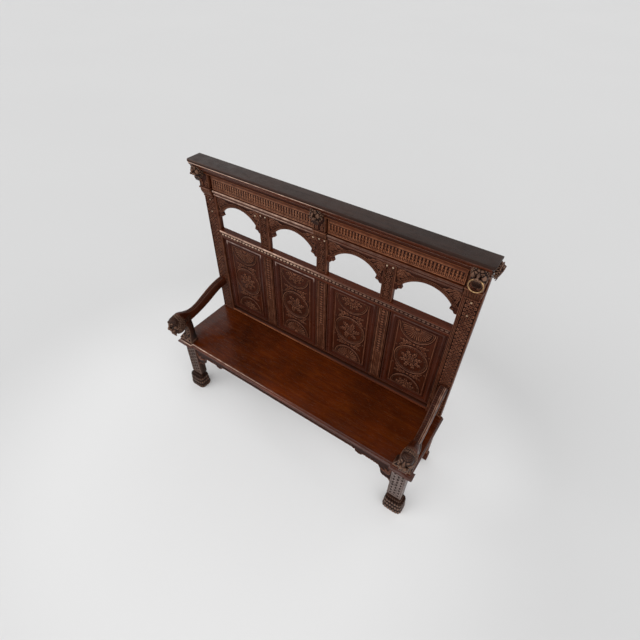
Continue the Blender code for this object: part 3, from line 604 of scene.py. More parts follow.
def panel_height(c, kind):
    def height(X, Z):
        x = X - c
        a = 0.110
        H = np.full_like(X, -0.0024) + 2.0 * stipple(X, Z, 0.0066) + 0.0006 * np.cos(2 * PI * (X + 0.7 * Z) / 0.0093)
        # sunk border line round the field
        d = np.minimum(np.minimum(x + a, a - x), np.minimum(Z - FZ0, FZ1 - Z))
        H = np.maximum(H, 0.0006 * (d < 0.0045))
        H = np.maximum(H, -0.0024 + 0.0030 * dome(d - 0.0070, 0.0022))
        # lunettes at the top and at the foot, medallion between them
        zt, zb, zm = FZ1 - 0.008, FZ0 + 0.008, 0.7845
        rt, rb, rm = 0.0985, 0.0910, 0.0985
        inside_t = np.hypot(x, Z - zt) < rt + 0.003
        inside_b = np.hypot(x, Z - zb) < rb + 0.003
        for cz, R, a0, n in ((zt, rt, PI, 9), (zb, rb, 0.0, 9 if kind else 7)):
            H = np.maximum(H, -0.0024 + ringline(x, Z, 0, cz, R, 0.0034, 0.0062))
            H = np.maximum(H, -0.0024 + ringline(x, Z, 0, cz, R - 0.0085, 0.0020, 0.0042))
            if (cz == zt) == bool(kind):
                H = np.maximum(H, -0.0024 + fan(x, Z, 0, cz, R - 0.013, a0, a0 + PI, n, 0.0064, 0.24))
            else:
                for q in range(5):
                    ang = a0 + PI * (q + 0.5) / 5
                    H = np.maximum(H, -0.0024 + leaf(x, Z, 0.010 * math.cos(ang), cz + 0.010 * math.sin(ang), ang,
                                                     R - 0.026, 0.0165, 0.0066, 4))
            H = np.maximum(H, -0.0024 + boss(x, Z, 0, cz, 0.0170, 0.0062))
            H = np.maximum(H, -0.0024 + ringline(x, Z, 0, cz, 0.0205, 0.0020, 0.0045))
        H = np.maximum(H, -0.0024 + ringline(x, Z, 0, zm, rm, 0.0040, 0.0066))
        H = np.maximum(H, -0.0024 + ringline(x, Z, 0, zm, rm - 0.0095, 0.0021, 0.0044))
        H = np.maximum(H, -0.0024 + beads_on_arc(x, Z, 0, zm, rm - 0.0160, 0.0115, 0.0040, 0.0040))
        r = np.hypot(x, Z - zm)
        if kind:
            for q in range(8):
                ang = 2 * PI * q / 8 + PI / 8
                H = np.maximum(H, -0.0024 + leaf(x, Z, 0.020 * math.cos(ang), zm + 0.020 * math.sin(ang), ang,
                                                 0.0560, 0.0150, 0.0070, 3))
        else:
            for q in range(6):
                ang = 2 * PI * q / 6
                H = np.maximum(H, -0.0024 + leaf(x, Z, 0.016 * math.cos(ang), zm + 0.016 * math.sin(ang), ang,
                                                 0.0600, 0.0185, 0.0070, 4, bend=0.30))
        H = np.where(r < 0.0235, np.maximum(-0.0016, -0.0016 + rosette(x, Z, 0, zm, 0.0215, 8, 0.0070)), H)
        H = np.maximum(H, -0.0024 + ringline(x, Z, 0, zm, 0.0245, 0.0022, 0.0058))
        # leaves in the spaces between the rounds
        free = ~(inside_t | inside_b | (r < rm + 0.003))
        zu, zl = 0.5 * (zt - rt + zm + rm), 0.5 * (zb + rb + zm - rm)
        G = np.zeros_like(X)
        for s in (-1, 1):
            for cz, up in ((zu, 1), (zl, -1)):
                G = np.maximum(G, leaf(x, Z, s * 0.004, cz, (0.0 if s > 0 else PI) - s * up * 0.08, 0.0960, 0.0140, 0.0058,
                                       5, bend=s * up * 0.22))
                G = np.maximum(G, leaf(x, Z, s * 0.040, cz - up * 0.002, (0.0 if s > 0 else PI) - s * up * 0.75, 0.0740,
                                       0.0130, 0.0058, 4, bend=-s * up * 0.10))
            G = np.maximum(G, rosette(x, Z, s * 0.098, zm + 0.072, 0.0085, 5, 0.0050))
            G = np.maximum(G, rosette(x, Z, s * 0.098, zm - 0.072, 0.0085, 5, 0.0050))
        for cz in (zu, zl):
            G = np.maximum(G, boss(x, Z, 0, cz, 0.0085, 0.0066))
        H = np.where(free, np.maximum(H, -0.0024 + G), H)
        inside = (np.abs(x) < a) & (Z > FZ0) & (Z < FZ1)
        return np.where(inside, H, np.where((np.abs(x) > a + 0.046) | (Z < FZ0 - 0.030), -0.0052, -0.0010))
    return height


def panel_axis(lo, hi, f0, f1, stepsize):
    n = int(round((f1 - f0) / stepsize))
    return np.concatenate([[lo, (lo + f0) / 2 - 0.018], np.linspace(f0 - 0.004, f1 + 0.004, n + 3), [(hi + f1) / 2 + 0.018, hi]])


for i, (bx0, bx1) in enumerate(BAYS):
    n = str(i + 1)
    c = (bx0 + 0.055 + bx1 - 0.055) / 2
    lo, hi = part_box("panel_" + n)
    xs = panel_axis(lo[0], hi[0], c - 0.110, c + 0.110, 0.00165)
    zs = panel_axis(lo[2], hi[2], FZ0, FZ1, 0.00185)
    slab("carved_panel_" + n, "carved_z", "panel_" + n, xs, zs, panel_height(c, i in (0, 3)), F + 0.0195, F + 0.0265,
         lo=-0.0046, hi=0.0054, k=0.46)

# moulding: (share of the width from the outside, height over the panel)
PROFILE = [(0.000, 0.0062), (0.025, 0.0074), (0.100, 0.0077), (0.125, 0.0070), (0.140, 0.0046), (0.165, 0.0044),
           (0.180, 0.0060), (0.205, 0.0068), (0.235, 0.0069), (0.290, 0.0064), (0.330, 0.0062), (0.345, 0.0068), (0.375, 0.0076),
           (0.500, 0.0070), (0.515, 0.0064), (0.560, 0.0058), (0.620, 0.0049), (0.700, 0.0040), (0.770, 0.0035), (0.790, 0.0018),
           (0.815, 0.0018), (0.830, 0.0036), (0.860, 0.0046), (0.895, 0.0046), (0.925, 0.0036), (0.940, 0.0020), (0.970, 0.0018),
           (1.000, 0.0006)]
for i, (bx0, bx1) in enumerate(BAYS):
    n = str(i + 1)
    ox0, ox1, oz0, oz1 = bx0 + 0.0068, bx1 - 0.0026, 0.5106, 1.0744
    ix0, ix1, iz0, iz1 = bx0 + 0.055, bx1 - 0.055, FZ0, FZ1
    yb = F + 0.0192
    loops, frame_wear_and_light = [], []
    prof = [(0.0, 0.0)] + PROFILE + [(1.0, 0.0)]
    for t, h in prof:
        x0, x1, z0, z1 = (u + (v - u) * t for u, v in ((ox0, ix0), (ox1, ix1), (oz0, iz0), (oz1, iz1)))
        zq = iz1 - 0.004
        loops.append([(x0, yb - h, z0), (x1, yb - h, z0), (x1, yb - h, zq), (x1, yb - h, z1), (x0, yb - h, z1), (x0, yb - h, zq)])
    P = np.array([(t * 0.0514, h) for t, h in prof])
    e1, e2 = P - np.roll(P, 1, 0), np.roll(P, -1, 0) - P
    turn = -np.arctan2(e1[:, 0] * e2[:, 1] - e1[:, 1] * e2[:, 0], (e1 * e2).sum(1))
    # painted shade deeper down the moulding's profile and on its inner bends, abrasion with painted highlight on its
    # outer bends
    frame_wear_and_light = np.repeat(np.clip(turn * 0.45 + (P[:, 1] - 0.0072) * 60, -1, 0.26), 6)
    # painted highlight on the bevel of each frame's head, strong on the two left panels and faint on the right ones
    bevel = np.interp(P[:, 0] / 0.0514, [0.33, 0.345, 0.375, 0.500, 0.515, 0.56], [0, 0.7, 1.0, 0.6, 0.1, 0])
    for q in (3, 4):
        frame_wear_and_light[q::6] = np.clip(frame_wear_and_light[q::6] + bevel * (1.1, 1.2, 0.25, 0.15)[i] * (0.7 if q == 3 else 1.0), -1, 1)
    V = np.array(loops).reshape(-1, 3)
    m = len(prof)
    Q = []
    for a in range(m):
        e = (a + 1) % m
        for j in range(6):
            k = (j + 1) % 6
            Q.append((a * 6 + j, a * 6 + k, e * 6 + k, e * 6 + j))
    put("panel_frame_" + n, V, np.array(Q), "carved_moulding", "panel_moulding_" + n, wear_and_light=frame_wear_and_light, curv=0.0, sharp=50)

# ------------------------------------------------------------------ arch boards
ARC_R, ARC_Z = 0.165, 1.156


def arch_low(dx):
    """Lower edge of the arch board at distance dx from the middle of its bay."""
    dx = np.abs(dx)
    z = ARC_Z + np.sqrt(np.clip(ARC_R ** 2 - dx ** 2, 0, None))
    z = np.where(dx > 0.1290, np.interp(dx, [0.1290, 0.1310, 0.1430, 0.1470, 0.1520, 0.2],
                                        [1.244, 1.235, 1.230, 1.220, 1.217, 1.217]), z)
    return z


def arch_height(c):
    def height(X, Z):
        x = X - c
        ax = np.abs(x)
        r = np.hypot(x, Z - ARC_Z)
        H = np.zeros_like(X)
        H = np.where(r > 0.1885, -0.0022 + stipple(X, Z, 0.0058), H)
        bead = -0.0026 + beads_on_arc(x, Z, 0, ARC_Z, 0.1800, 0.0094, 0.0040, 0.0042)
        H = np.where((r > 0.1755) & (r < 0.1845), bead, H)
        H = H - 0.0012 * dome(r - ARC_R - 0.0052, 0.0009)
        H = np.where(np.abs(r - 0.1867) < 0.0024, -0.0026 + ringline(x, Z, 0, ARC_Z, 0.1867, 0.0024, 0.0046), H)
        # spandrels: a palmette in each corner
        G = np.zeros_like(X)
        cz = 1.3480
        for q, (ang, L, W, bd) in enumerate(((PI + 0.16, 0.112, 0.0105, 0.10), (PI + 0.55, 0.072, 0.0120, 0.05),
                                              (1.25 * PI + 0.10, 0.058, 0.0120, 0.0), (1.5 * PI - 0.45, 0.066, 0.0115, -0.05),
                                              (1.5 * PI - 0.10, 0.088, 0.0100, -0.10))):
            G = np.maximum(G, leaf(ax, Z, 0.1570, cz, ang, L, W, 0.0068, 4, bend=bd))
        G = np.maximum(G, rosette(ax, Z, 0.1545, cz - 0.0040, 0.0095, 6, 0.0072))
        H = np.where((r > 0.1895) & (G > 0), np.maximum(H, -0.0022 + 0.8 * G), H)
        # raised border under the rail and along the uprights
        H = np.maximum(H, np.where(Z > 1.3520, 0.0004, -1))
        H = np.maximum(H, np.where(ax > 0.1620, 0.0004, -1))
        # the cusps at the springing
        k = (Z < 1.2600) & (ax > 0.1280)
        H = np.where(k & (r < 0.1885), 0.0 + ringline(ax, Z, 0.1400, 1.2410, 0.0052, 0.0020, 0.0022), H)
        H = np.maximum(H, np.where(k, boss(ax, Z, 0.1400, 1.2410, 0.0028, 0.0026), -1))
        d = Z - arch_low(x)
        return H - arris(d, 0.0014)
    return height


for i, (bx0, bx1) in enumerate(BAYS):
    n = str(i + 1)
    c = (bx0 + bx1) / 2
    lo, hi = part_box("arch_board_" + n)
    half = [0.0, 0.1289, 0.1291, 0.1310, 0.1430, 0.1470, 0.1520]
    base = np.linspace(0, 0.1289, 68)
    fine = np.concatenate([base, [0.1291, 0.1300, 0.1310], np.linspace(0.1325, 0.1640, 22)])
    xs = np.concatenate([[lo[0]], c - fine[:0:-1], c + fine, [hi[0]]])
    v = np.concatenate([[0, 0.006, 0.014, 0.024], np.linspace(0.04, 1, 62)])
    X = np.repeat(xs[None, :], len(v), 0)
    zl = arch_low(xs - c)[None, :]
    Z = zl + (hi[2] - zl) * v[:, None]
    H = arch_height(c)(X, Z)
    dx = X - c
    w = np.where(np.abs(dx) > 0.1289, 1 - step(0.1400, 0.1560, np.abs(dx)), 0.0)
    X = X - np.sign(dx) * 0.0075 * np.exp(-(((Z - 1.2395) / 0.0070) ** 2)) * w
    V, Q, N = slab_data(X, Z, F + 0.008 - H, F + 0.024)
    wear_and_light = np.zeros(len(V))
    wear_and_light[:H.size] = level(H, -0.0038, 0.0028, 0.55).ravel()
    put("carved_arch_" + n, V, Q, "carved_x", "arch_board_" + n, N, wear_and_light, unseen=len(V) - H.size)

# ------------------------------------------------------------- frieze and sill
FLUTES = 40
FX0, FX1 = 0.0505, 0.7450


def frieze_height(X, Z):
    p = (FX1 - FX0) / FLUTES
    rail = (Z < 1.4125) | (Z > 1.4665) | (X < FX0) | (X > FX1)
    u = (X - FX0) / p
    x = (u - np.floor(u) - 0.5) * p
    # hollow flutes, round at head and foot, with a small tongue low in each and a reed between them
    d = np.hypot(x, np.clip(Z - 1.4600, 0, None) + np.clip(1.4190 - Z, 0, None))
    w = 0.0047
    fl = np.where(d < w, -0.0036 * dome(d, w), 0.0)
    tongue = capsule(x, Z, 0.0, 1.4185, 0.0, 1.4285)
    fl = np.where(d < w, np.maximum(fl, -0.0036 + 0.0042 * dome(tongue, 0.0038)), fl)
    fl = np.where(d < w, np.maximum(fl, -0.0036 + 0.0032 * dome(capsule(x, Z, 0.0, 1.4425, 0.0, 1.4445), 0.0028)), fl)
    rim = 0.0015 * dome(np.abs(x) - p / 2, p / 2 - w) * (1 - step(1.4635, 1.4665, Z)) * step(1.4125, 1.4150, Z)
    notch = 0.0016 * (0.5 - 0.5 * np.cos(2 * PI * (Z - 1.4130) / 0.0150)) ** 4 * (d >= w)
    H = np.where(rail, 0.0, np.where(d < w, fl, rim - notch))
    H = H + 0.0018 * np.where(Z > 1.4900, dome(Z - 1.4940, 0.0040), 0) + 0.0014 * np.where(Z < 1.4115, dome(Z - 1.4085, 0.0028), 0)
    return H - arris(edge_distance(X, Z), 0.0010)


for side, s in SIDES:
    xs = np.concatenate([ticks(0.0425, FX0, 0.0030), np.linspace(FX0, FX1, FLUTES * 13 + 1)[1:-1], ticks(FX1, 0.7530, 0.003)])
    zs = np.concatenate([ticks(1.4050, 1.4125, 0.0012), np.linspace(1.4135, 1.4690, 42), [1.4720, 1.4780, 1.4840, 1.4875],
                         ticks(1.4885, 1.4997, 0.0013)])

    # painted highlight on the frieze's top bead, strong on the left half and turning to slight painted shade on the
    # right; the plain band above the flutes is a little darker
    def more(X, Z, s=s):
        bead = np.clip(1 - ((Z - 1.4946) / 0.0042) ** 2, 0, 1)
        return bead * np.interp(s * X, [-0.80, -0.10, 0.10, 0.80], [0.7, 0.6, -0.1, -0.2]) - 0.10 * (Z > 1.4680) * (Z < 1.4885)

    slab("carved_frieze_" + side, "carved_frieze" if s < 0 else "carved_frieze_r", "frieze_" + side, xs, zs, frieze_height, F - 0.0120,
         F + 0.0017, s, lo=-0.0050, hi=0.0010, k=0.62, more=more)
    yb = F + 0.0017
    prof = [(yb, 1.3620), (F - 0.0050, 1.3620), (F - 0.0066, 1.3628), (F - 0.0070, 1.3645), (F - 0.0062, 1.3662),
            (F - 0.0080, 1.3676), (F - 0.0104, 1.3684), (F - 0.0116, 1.3700), (F - 0.0116, 1.3745), (F - 0.0104, 1.3762),
            (F - 0.0092, 1.3768), (F - 0.0094, 1.3784), (F - 0.0112, 1.3812), (F - 0.0142, 1.3836), (F - 0.0168, 1.3852),
            (F - 0.0180, 1.3868), (F - 0.0180, 1.3905), (F - 0.0172, 1.3912), (F - 0.0172, 1.3924), (F - 0.0192, 1.3936),
            (F - 0.0197, 1.3960), (F - 0.0190, 1.3985), (F - 0.0170, 1.3998), (F - 0.0060, 1.4004), (F - 0.0060, 1.4047),
            (yb, 1.4047)]
    x0, x1 = sorted((s * 0.0425, s * 0.7530))
    # painted highlights on the string's top arris and on a lower bead, strongest on the left
    shade = [0.6 if 1.3930 < z < 1.4000 else 0.35 if 1.3695 < z < 1.3750 and y < F - 0.0110 else 0.0 for y, z in prof]
    prism_x("frieze_string_" + side, "crown", "frieze_moulding_" + side, prof, x0, x1, nx=7, shade=shade, highlight_by_x=lit_from_left)

prof = [(F + 0.0017, 1.0880), (F - 0.0008, 1.0880), (F - 0.0022, 1.0888), (F - 0.0030, 1.0905), (F - 0.0028, 1.0925),
        (F - 0.0014, 1.0938), (F - 0.0012, 1.0945), (F - 0.0012, 1.1150), (F - 0.0030, 1.1160), (F - 0.0062, 1.1178),
        (F - 0.0078, 1.1205), (F - 0.0090, 1.1215), (F - 0.0090, 1.1290), (F - 0.0084, 1.1310), (F - 0.0068, 1.1335),
        (F - 0.0050, 1.1348), (F - 0.0030, 1.1350), (F + 0.0017, 1.1350)]
# painted shade on the ground behind the beads, painted highlight on the sill's top arris, strongest on the left
shade = [-0.7 if 1.0940 < z < 1.1165 else 0.9 if 1.1285 < z < 1.1320 else 0.0 for _, z in prof]
prism_x("sill_string", "crown", "sill_moulding", prof, -0.7547, 0.7547, nx=13, shade=shade, highlight_by_x=lit_from_left)


def lump(V, Q, cx, cy, cz, rx, ry, rz, nu=14, nv=7, power=1.0):
    """Half a rounded bead on a plane facing -y, added to the lists V and Q."""
    base = sum(len(a) for a in V)
    u = np.linspace(0, 2 * PI, nu, endpoint=False)
    t = np.linspace(0, PI / 2, nv)[:-1]
    rows = []
    for a in t:
        rows.append(np.column_stack([cx + rx * np.cos(a) * np.sign(np.cos(u)) * np.abs(np.cos(u)) ** power,
                                     np.full(nu, cy - ry * np.sin(a)),
                                     cz + rz * np.cos(a) * np.sign(np.sin(u)) * np.abs(np.sin(u)) ** power]))
    P = np.concatenate(rows)
    m = len(rows)
    q = []
    for i in range(m - 1):
        for j in range(nu):
            k = (j + 1) % nu
            q.append((base + i * nu + j, base + i * nu + k, base + (i + 1) * nu + k, base + (i + 1) * nu + j))
    tip = list(base + (m - 1) * nu + np.arange(nu))
    foot = list(base + np.arange(nu))[::-1]
    V.append(P)
    Q.extend(q)
    return tip, foot


def bead_strip(name, mat, centres, cy, rx, ry, rz, power=1.0, **kw):
    V, Q, N = [], [], []
    for x, z in centres:
        N += list(lump(V, Q, x, cy, z, rx, ry, rz, power=power))
    V = np.concatenate(V)
    # painted glints: the beads are bright towards the left end and dull on the right, each a little different
    wear_and_light = np.interp(V[:, 0], [-0.76, -0.30, 0.15, 0.76], [0.62, 0.44, -0.02, -0.06])
    wear_and_light = wear_and_light + 0.5 * (chance(np.floor(V[:, 0] / P_BEAD + 0.5), 3.0) - 0.5) * (wear_and_light > 0.2)
    return put(name, V, Q, mat, None, N, wear_and_light, sharp=70, curv=0.4, **kw)


P_BEAD = 0.0242
N_BEAD = 62
bead_strip("sill_beads", "carved_glint", [((k - (N_BEAD - 1) / 2) * P_BEAD, 1.1048) for k in range(N_BEAD)], F - 0.0010,
           0.0090, 0.0046, 0.0056, power=0.8)

# ------------------------------------------------------------------- capitals


def capital(name, node, cx, z0, hw, yb, side=1.0):
    """Carved cushion under a lip, with a narrower carved block above it."""
    zz = [z0, z0 + 0.0010, z0 + 0.0050, z0 + 0.0060, z0 + 0.0075, 1.3760, 1.3900, 1.3935, 1.3950, 1.3985, 1.4000, 1.4050,
          1.4075, 1.4090, 1.4110, 1.5]
    dd = [0.0100, 0.0140, 0.0150, 0.0125, 0.0120, 0.0235, 0.0265, 0.0255, 0.0215, 0.0220, 0.0310, 0.0335, 0.0335, 0.0320,
          0.0275, 0.0275]
    ww = [0.80, 0.82, 0.84, 0.82, 0.80, 0.92, 0.95, 0.94, 0.86, 0.88, 1.00, 1.00, 1.00, 0.98, 0.86, 0.86]
    xs = ticks(-hw, hw, 0.0013)
    zs = np.concatenate([np.linspace(z0, 1.4120, 58), np.linspace(1.4135, 1.4997, 58)])
    X, Z = np.meshgrid(xs, zs)
    H = np.interp(Z, zz, dd)
    W = np.interp(Z, zz, ww)
    t = step(z0 + 0.0080, z0 + 0.0120, Z) * (1 - step(1.3905, 1.3935, Z))
    p = 2 * hw / 7
    u = np.abs(((X + hw) / p) % 1.0 - 0.5) * 2
    H = H + t * (-0.0060 * step(0.72, 1.0, u) - 0.0012 * (1 - step(0.0, 0.16, u)))
    blk = (Z > 1.4150) & (Z < 1.4955) & (np.abs(X) < hw - 0.0055)
    G = np.full_like(X, -0.0030)
    for q in (-1, 1):
        G = np.maximum(G, -0.0030 + leaf(q * X, Z, 0.010, 1.4170, 1.20, 0.0720, 0.0110, 0.0058, 4, bend=-0.15))
        G = np.maximum(G, -0.0030 + leaf(q * X, Z, 0.008, 1.4170, 0.40, 0.0280, 0.0080, 0.0052, 3))
    H = H + np.where(blk, G, 0.0) - arris(np.minimum(X + hw, hw - X), 0.0030)
    V, Q, N = slab_data(cx + X * W, Z, F - H, yb)
    wear_and_light = np.zeros(len(V))
    wear_and_light[:H.size] = level(H - np.interp(Z, zz, dd), -0.0050, 0.0016, 0.5).ravel()
    if side < 0:
        V, Q, N = flip(V, Q, N)
    put(name, V, Q, "carved_z", node, N, wear_and_light, unseen=len(V) - H.size)


for side, s in SIDES:
    capital("carved_capital_" + side, "capital_" + side, 0.8010, 1.3450, 0.0420, F - 0.0003, s)
capital("carved_capital_centre", "capital_centre", 0.0, 1.3570, 0.0410, F + 0.0017)

# -------------------------------------------------------------------- cornice
plan = [(0.861, BACK), (-0.861, BACK)]
for k in range(9):
    a = PI + PI / 2 * k / 8
    plan.append((-0.861 + 0.018 + 0.018 * math.cos(a), F - 0.0754 + 0.018 + 0.018 * math.sin(a)))
plan += [(-x, y) for x, y in reversed(plan[2:])]
P = np.array(plan)
e1, e2 = P - np.roll(P, 1, 0), np.roll(P, -1, 0) - P
n1 = np.column_stack([-e1[:, 1], e1[:, 0]]) / np.linalg.norm(e1, axis=1)[:, None]
n2 = np.column_stack([-e2[:, 1], e2[:, 0]]) / np.linalg.norm(e2, axis=1)[:, None]
nrm = (n1 + n2) / (1 + (n1 * n2).sum(1))[:, None]
edge = [(0.0034, 1.5650), (0.0012, 1.5654), (0.0002, 1.5668), (0.0, 1.5690), (0.0, 1.5735), (0.0006, 1.5757), (0.0020, 1.5772),
        (0.0042, 1.5779), (0.0062, 1.5780)]
V = np.concatenate([np.column_stack([P + d * nrm, np.full(len(P), z)]) for d, z in edge])
m = len(P)
Q = [(i * m + j, i * m + (j + 1) % m, (i + 1) * m + (j + 1) % m, (i + 1) * m + j) for i in range(len(edge) - 1) for j in range(m)]
# painted highlight on the board's front arrises, full at the left end, fading across and turning to painted shade
# towards the right end
wear_and_light = np.repeat([0.9, 0.9, 0.3, -0.2, -0.2, 0.2, 0.5, 0.4, 0.0], m)
wear_and_light = wear_and_light * np.interp(V[:, 0], [-0.87, 0.87], [1.0, -0.45])
put("cornice_board", V, Q, "top", "cornice_top", [list(range(m))[::-1], list((len(edge) - 1) * m + np.arange(m))], wear_and_light, curv=0.0)
ogee = [(BACK, 1.5300), (F - 0.0570, 1.5300), (F - 0.0584, 1.5306), (F - 0.0592, 1.5322), (F - 0.0588, 1.5342), (F - 0.0480, 1.5346),
        (F - 0.0480, 1.5356)]
for k in range(0, 13):
    t = k / 12
    ogee.append((F - 0.0592 - 0.0110 * (t - math.sin(2 * PI * t) / (2 * PI) * 0.85), 1.5362 + 0.0215 * t))
ogee += [(F - 0.0700, 1.5592), (F - 0.0722, 1.5598), (F - 0.0728, 1.5612), (F - 0.0728, 1.5636), (F - 0.0720, 1.5647),
         (BACK, 1.5647)]
# painted highlight on the crown's top fillet, strongest on the left; painted shade on the bead under the crown
shade = [0.9 if 1.5590 < z < 1.5640 else 0.0 if z > 1.5358 else -0.8 if z < 1.5345 and z > 1.5301 else 0.0 for _, z in ogee]
prism_x("cornice_ogee", "crown", "cornice_crown", ogee, -0.8485, 0.8485, nx=13, shade=shade,
        highlight_by_x=lambda x: float(np.interp(x, [-0.80, -0.10, 0.12, 0.80], [1.0, 0.9, 0.05, 0.0])))
bed = [(BACK, 1.5000), (F - 0.0318, 1.5000), (F - 0.0334, 1.5006), (F - 0.0340, 1.5020), (F - 0.0340, 1.5040),
       (F - 0.0328, 1.5052), (F - 0.0328, 1.5232), (F - 0.0300, 1.5236), (F - 0.0300, 1.5248), (F - 0.0338, 1.5256), (F - 0.0346, 1.5270), (F - 0.0346, 1.5290),
       (F - 0.0338, 1.5297), (BACK, 1.5297)]
prism_x("cornice_bed_mould", "frame_x", "cornice_bed", bed, -0.8485, 0.8485)

# --------------------------------------------------------------------- stiles


def scales(X, Z, x0, x1, z0, z1, cols, pz, h, vary=0.0):
    """Overlapping round leaves in staggered rows, as on a roof."""
    px = (x1 - x0) / cols
    R = px * 0.60
    H = np.full_like(X, -1.0)
    best = np.full_like(X, -1e9)
    row = np.floor((Z - z0) / pz)
    for dr in (-1, 0, 1, 2):
        rr = row + dr
        cz = z0 + rr * pz
        off = np.where(np.mod(rr, 2) == 0, 0.5, 0.0)
        col = np.round((X - x0) / px - off)
        cx = x0 + (col + off) * px
        odd = chance(rr, col) - 0.5
        cx = cx + vary * 0.34 * px * odd
        d = np.hypot(X - cx, (Z - cz) * 0.86) * (1 + vary * 0.5 * (chance(col, rr) - 0.5))
        m = (d < R) & (cz > best)
        t = (cz + R / 0.86 - Z) / (2 * R / 0.86)
        v = h * (0.15 + 0.85 * t) * (1 + vary * odd) - h * 0.30 * np.exp(-(((X - cx) / (0.07 * px)) ** 2)) * step(0.2, 0.6, t)
        v = v - h * 0.5 * step(R * 0.84, R, d)
        H = np.where(m, v, H)
        best = np.where(m, cz, best)
    return np.maximum(H, -0.0002)


def stile_height(X, Z):
    H = np.zeros_like(X)
    fx0, fx1, fz0, fz1 = 0.7745, 0.8390, 0.4700, 1.3380
    zone = (Z > fz0) & (Z < fz1)
    inner = (X > fx0) & (X < fx1) & zone
    px, pz = (fx1 - fx0) / 3, 0.0250
    S = np.zeros_like(X)
    for row in (0, 1):
        off = 0.5 * row
        for dc in (0, 1):
            col = np.clip(np.floor((X - fx0) / px - off) + dc, 0, 2 - row)
            rw = np.round((Z - fz0) / pz - off)
            a, b = chance(rw + 40 * row, col) - 0.5, chance(col + 9, rw + 17 * row) - 0.5
            cx = fx0 + (col + 0.5 + off) * px + 0.16 * px * a
            cz = fz0 + (rw + off) * pz + 0.16 * pz * b
            rad = np.hypot((X - cx) / 0.0098, (Z - cz) / 0.0118) * (1 - 0.22 * a)
            lump_h = (0.0062 + 0.0022 * b) * np.sqrt(np.clip(1 - rad ** 2, 0, 1))
            lump_h = lump_h - 0.0030 * np.exp(-((rad / 0.26) ** 2)) - 0.0012 * (0.5 + 0.5 * np.cos(5 * np.arctan2(Z - cz, X - cx))) * (rad < 1)
            S = np.maximum(S, np.where(rad < 1, lump_h, 0.0))
    H = np.where(inner, -0.0046 + S, H)
    lines = 0.0012 * dome(X - 0.7722, 0.0014) + 0.0012 * dome(X - 0.8412, 0.0014) - 0.0022 * dome(X - 0.7688, 0.0013)
    H = H + np.where(zone, lines, 0.0)
    return H - arris(edge_distance(X, Z), 0.0020)


for side, s in SIDES:
    xs = np.concatenate([ticks(0.756, 0.7735, 0.0011), np.linspace(0.7747, 0.8388, 54), ticks(0.8400, 0.846, 0.0012)])
    zs = np.concatenate([[0.0503, 0.0515, 0.0540, 0.2, 0.38, 0.455], np.arange(0.462, 1.342, 0.0019), ticks(1.3430, 1.4997, 0.02)])
    slab("carved_stile_" + side, "carved_z", "stile_" + side, xs, zs, stile_height, F, BACK, s, lo=-0.0042, hi=0.0032, k=0.95)

# -------------------------------------------------------------------- muntins


def upper_muntin_height(cx):
    def height(X, Z):
        x = X - cx
        ax = np.abs(x)
        H = np.zeros_like(X)
        f = (ax < 0.0225) & (Z > 1.1480) & (Z < 1.3330)
        H = np.where(f, -0.0028 + stipple(X, Z), H)
        H = np.maximum(H, -0.0028 + 0.0044 * dome(ax - 0.0228, 0.0018) * ((Z > 1.146) & (Z < 1.335)))
        H = np.maximum(H, -0.0028 + 0.0044 * dome(np.minimum(np.abs(Z - 1.1475), np.abs(Z - 1.3335)), 0.0018) * (ax < 0.024))
        for q in range(4):
            cz = 1.1715 + q * 0.0460
            H = np.where(f, np.maximum(H, -0.0028 + ringline(x, Z, 0, cz, 0.0178, 0.0020, 0.0048)), H)
            H = np.where(f, np.maximum(H, -0.0028 + rosette(x, Z, 0, cz, 0.0150, 6, 0.0058)), H)
            for sx in (-1, 1):
                H = np.where(f, np.maximum(H, -0.0028 + boss(x, Z, sx * 0.0165, cz + 0.0230, 0.0042, 0.0040)), H)
            H = np.where(f, np.maximum(H, -0.0028 + boss(x, Z, 0, cz + 0.0230, 0.0036, 0.0040)), H)
        return H - arris(edge_distance(X, Z), 0.0016)
    return height


def lower_muntin_height(cx):
    def height(X, Z):
        x = X - cx
        ax = np.abs(x)
        H = np.zeros_like(X)
        zone = (Z > 0.5240) & (Z < 1.0640)
        for c0, w, h in ((0.0285, 0.0022, -0.0018), (0.0180, 0.0012, -0.0018)):
            H = H + np.where(zone, h * dome(ax - c0, w), 0)
        H = H + np.where(zone, 0.0012 * dome(ax - 0.0232, 0.0040), 0)
        chan = zone & (ax < 0.0130)
        C = np.full_like(X, -0.0020)
        pz = 0.0186
        u = (Z - 0.7400) / pz
        dz = (u - np.floor(u) - 0.5) * pz
        coin = np.hypot(ax / 1.32, dz)
        C = np.where(Z > 0.7400, np.maximum(C, -0.0020 + 0.0034 * dome(coin, 0.0084)), C)
        for k in (-1, 0, 1):
            C = np.where(Z < 0.7340, np.maximum(C, -0.0020 + 0.0030 * dome(x - k * 0.0080, 0.0036)), C)
        C = np.maximum(C, np.where(np.abs(Z - 0.7370) < 0.0026, 0.0002, -1))
        H = np.where(chan, C, H)
        return H - arris(edge_distance(X, Z), 0.0016)
    return height


for nm, (x0, x1) in zip(NAMES3, MUNTINS):
    c = (x0 + x1) / 2
    xs = ticks(x0, x1, 0.00135)
    slab("carved_upper_muntin_" + nm, "carved_z", "upper_muntin_" + nm, xs, ticks(1.1353, 1.3547, 0.0016),
         upper_muntin_height(c), F, F + 0.030, lo=-0.0030, hi=0.0030)
    slab("carved_lower_muntin_" + nm, "carved_z", "lower_muntin_" + nm, xs, ticks(0.5103, 1.0747, 0.0019),
         lower_muntin_height(c), F + 0.008, F + 0.031, lo=-0.0036, hi=0.0024, k=0.35, curv=0.6)


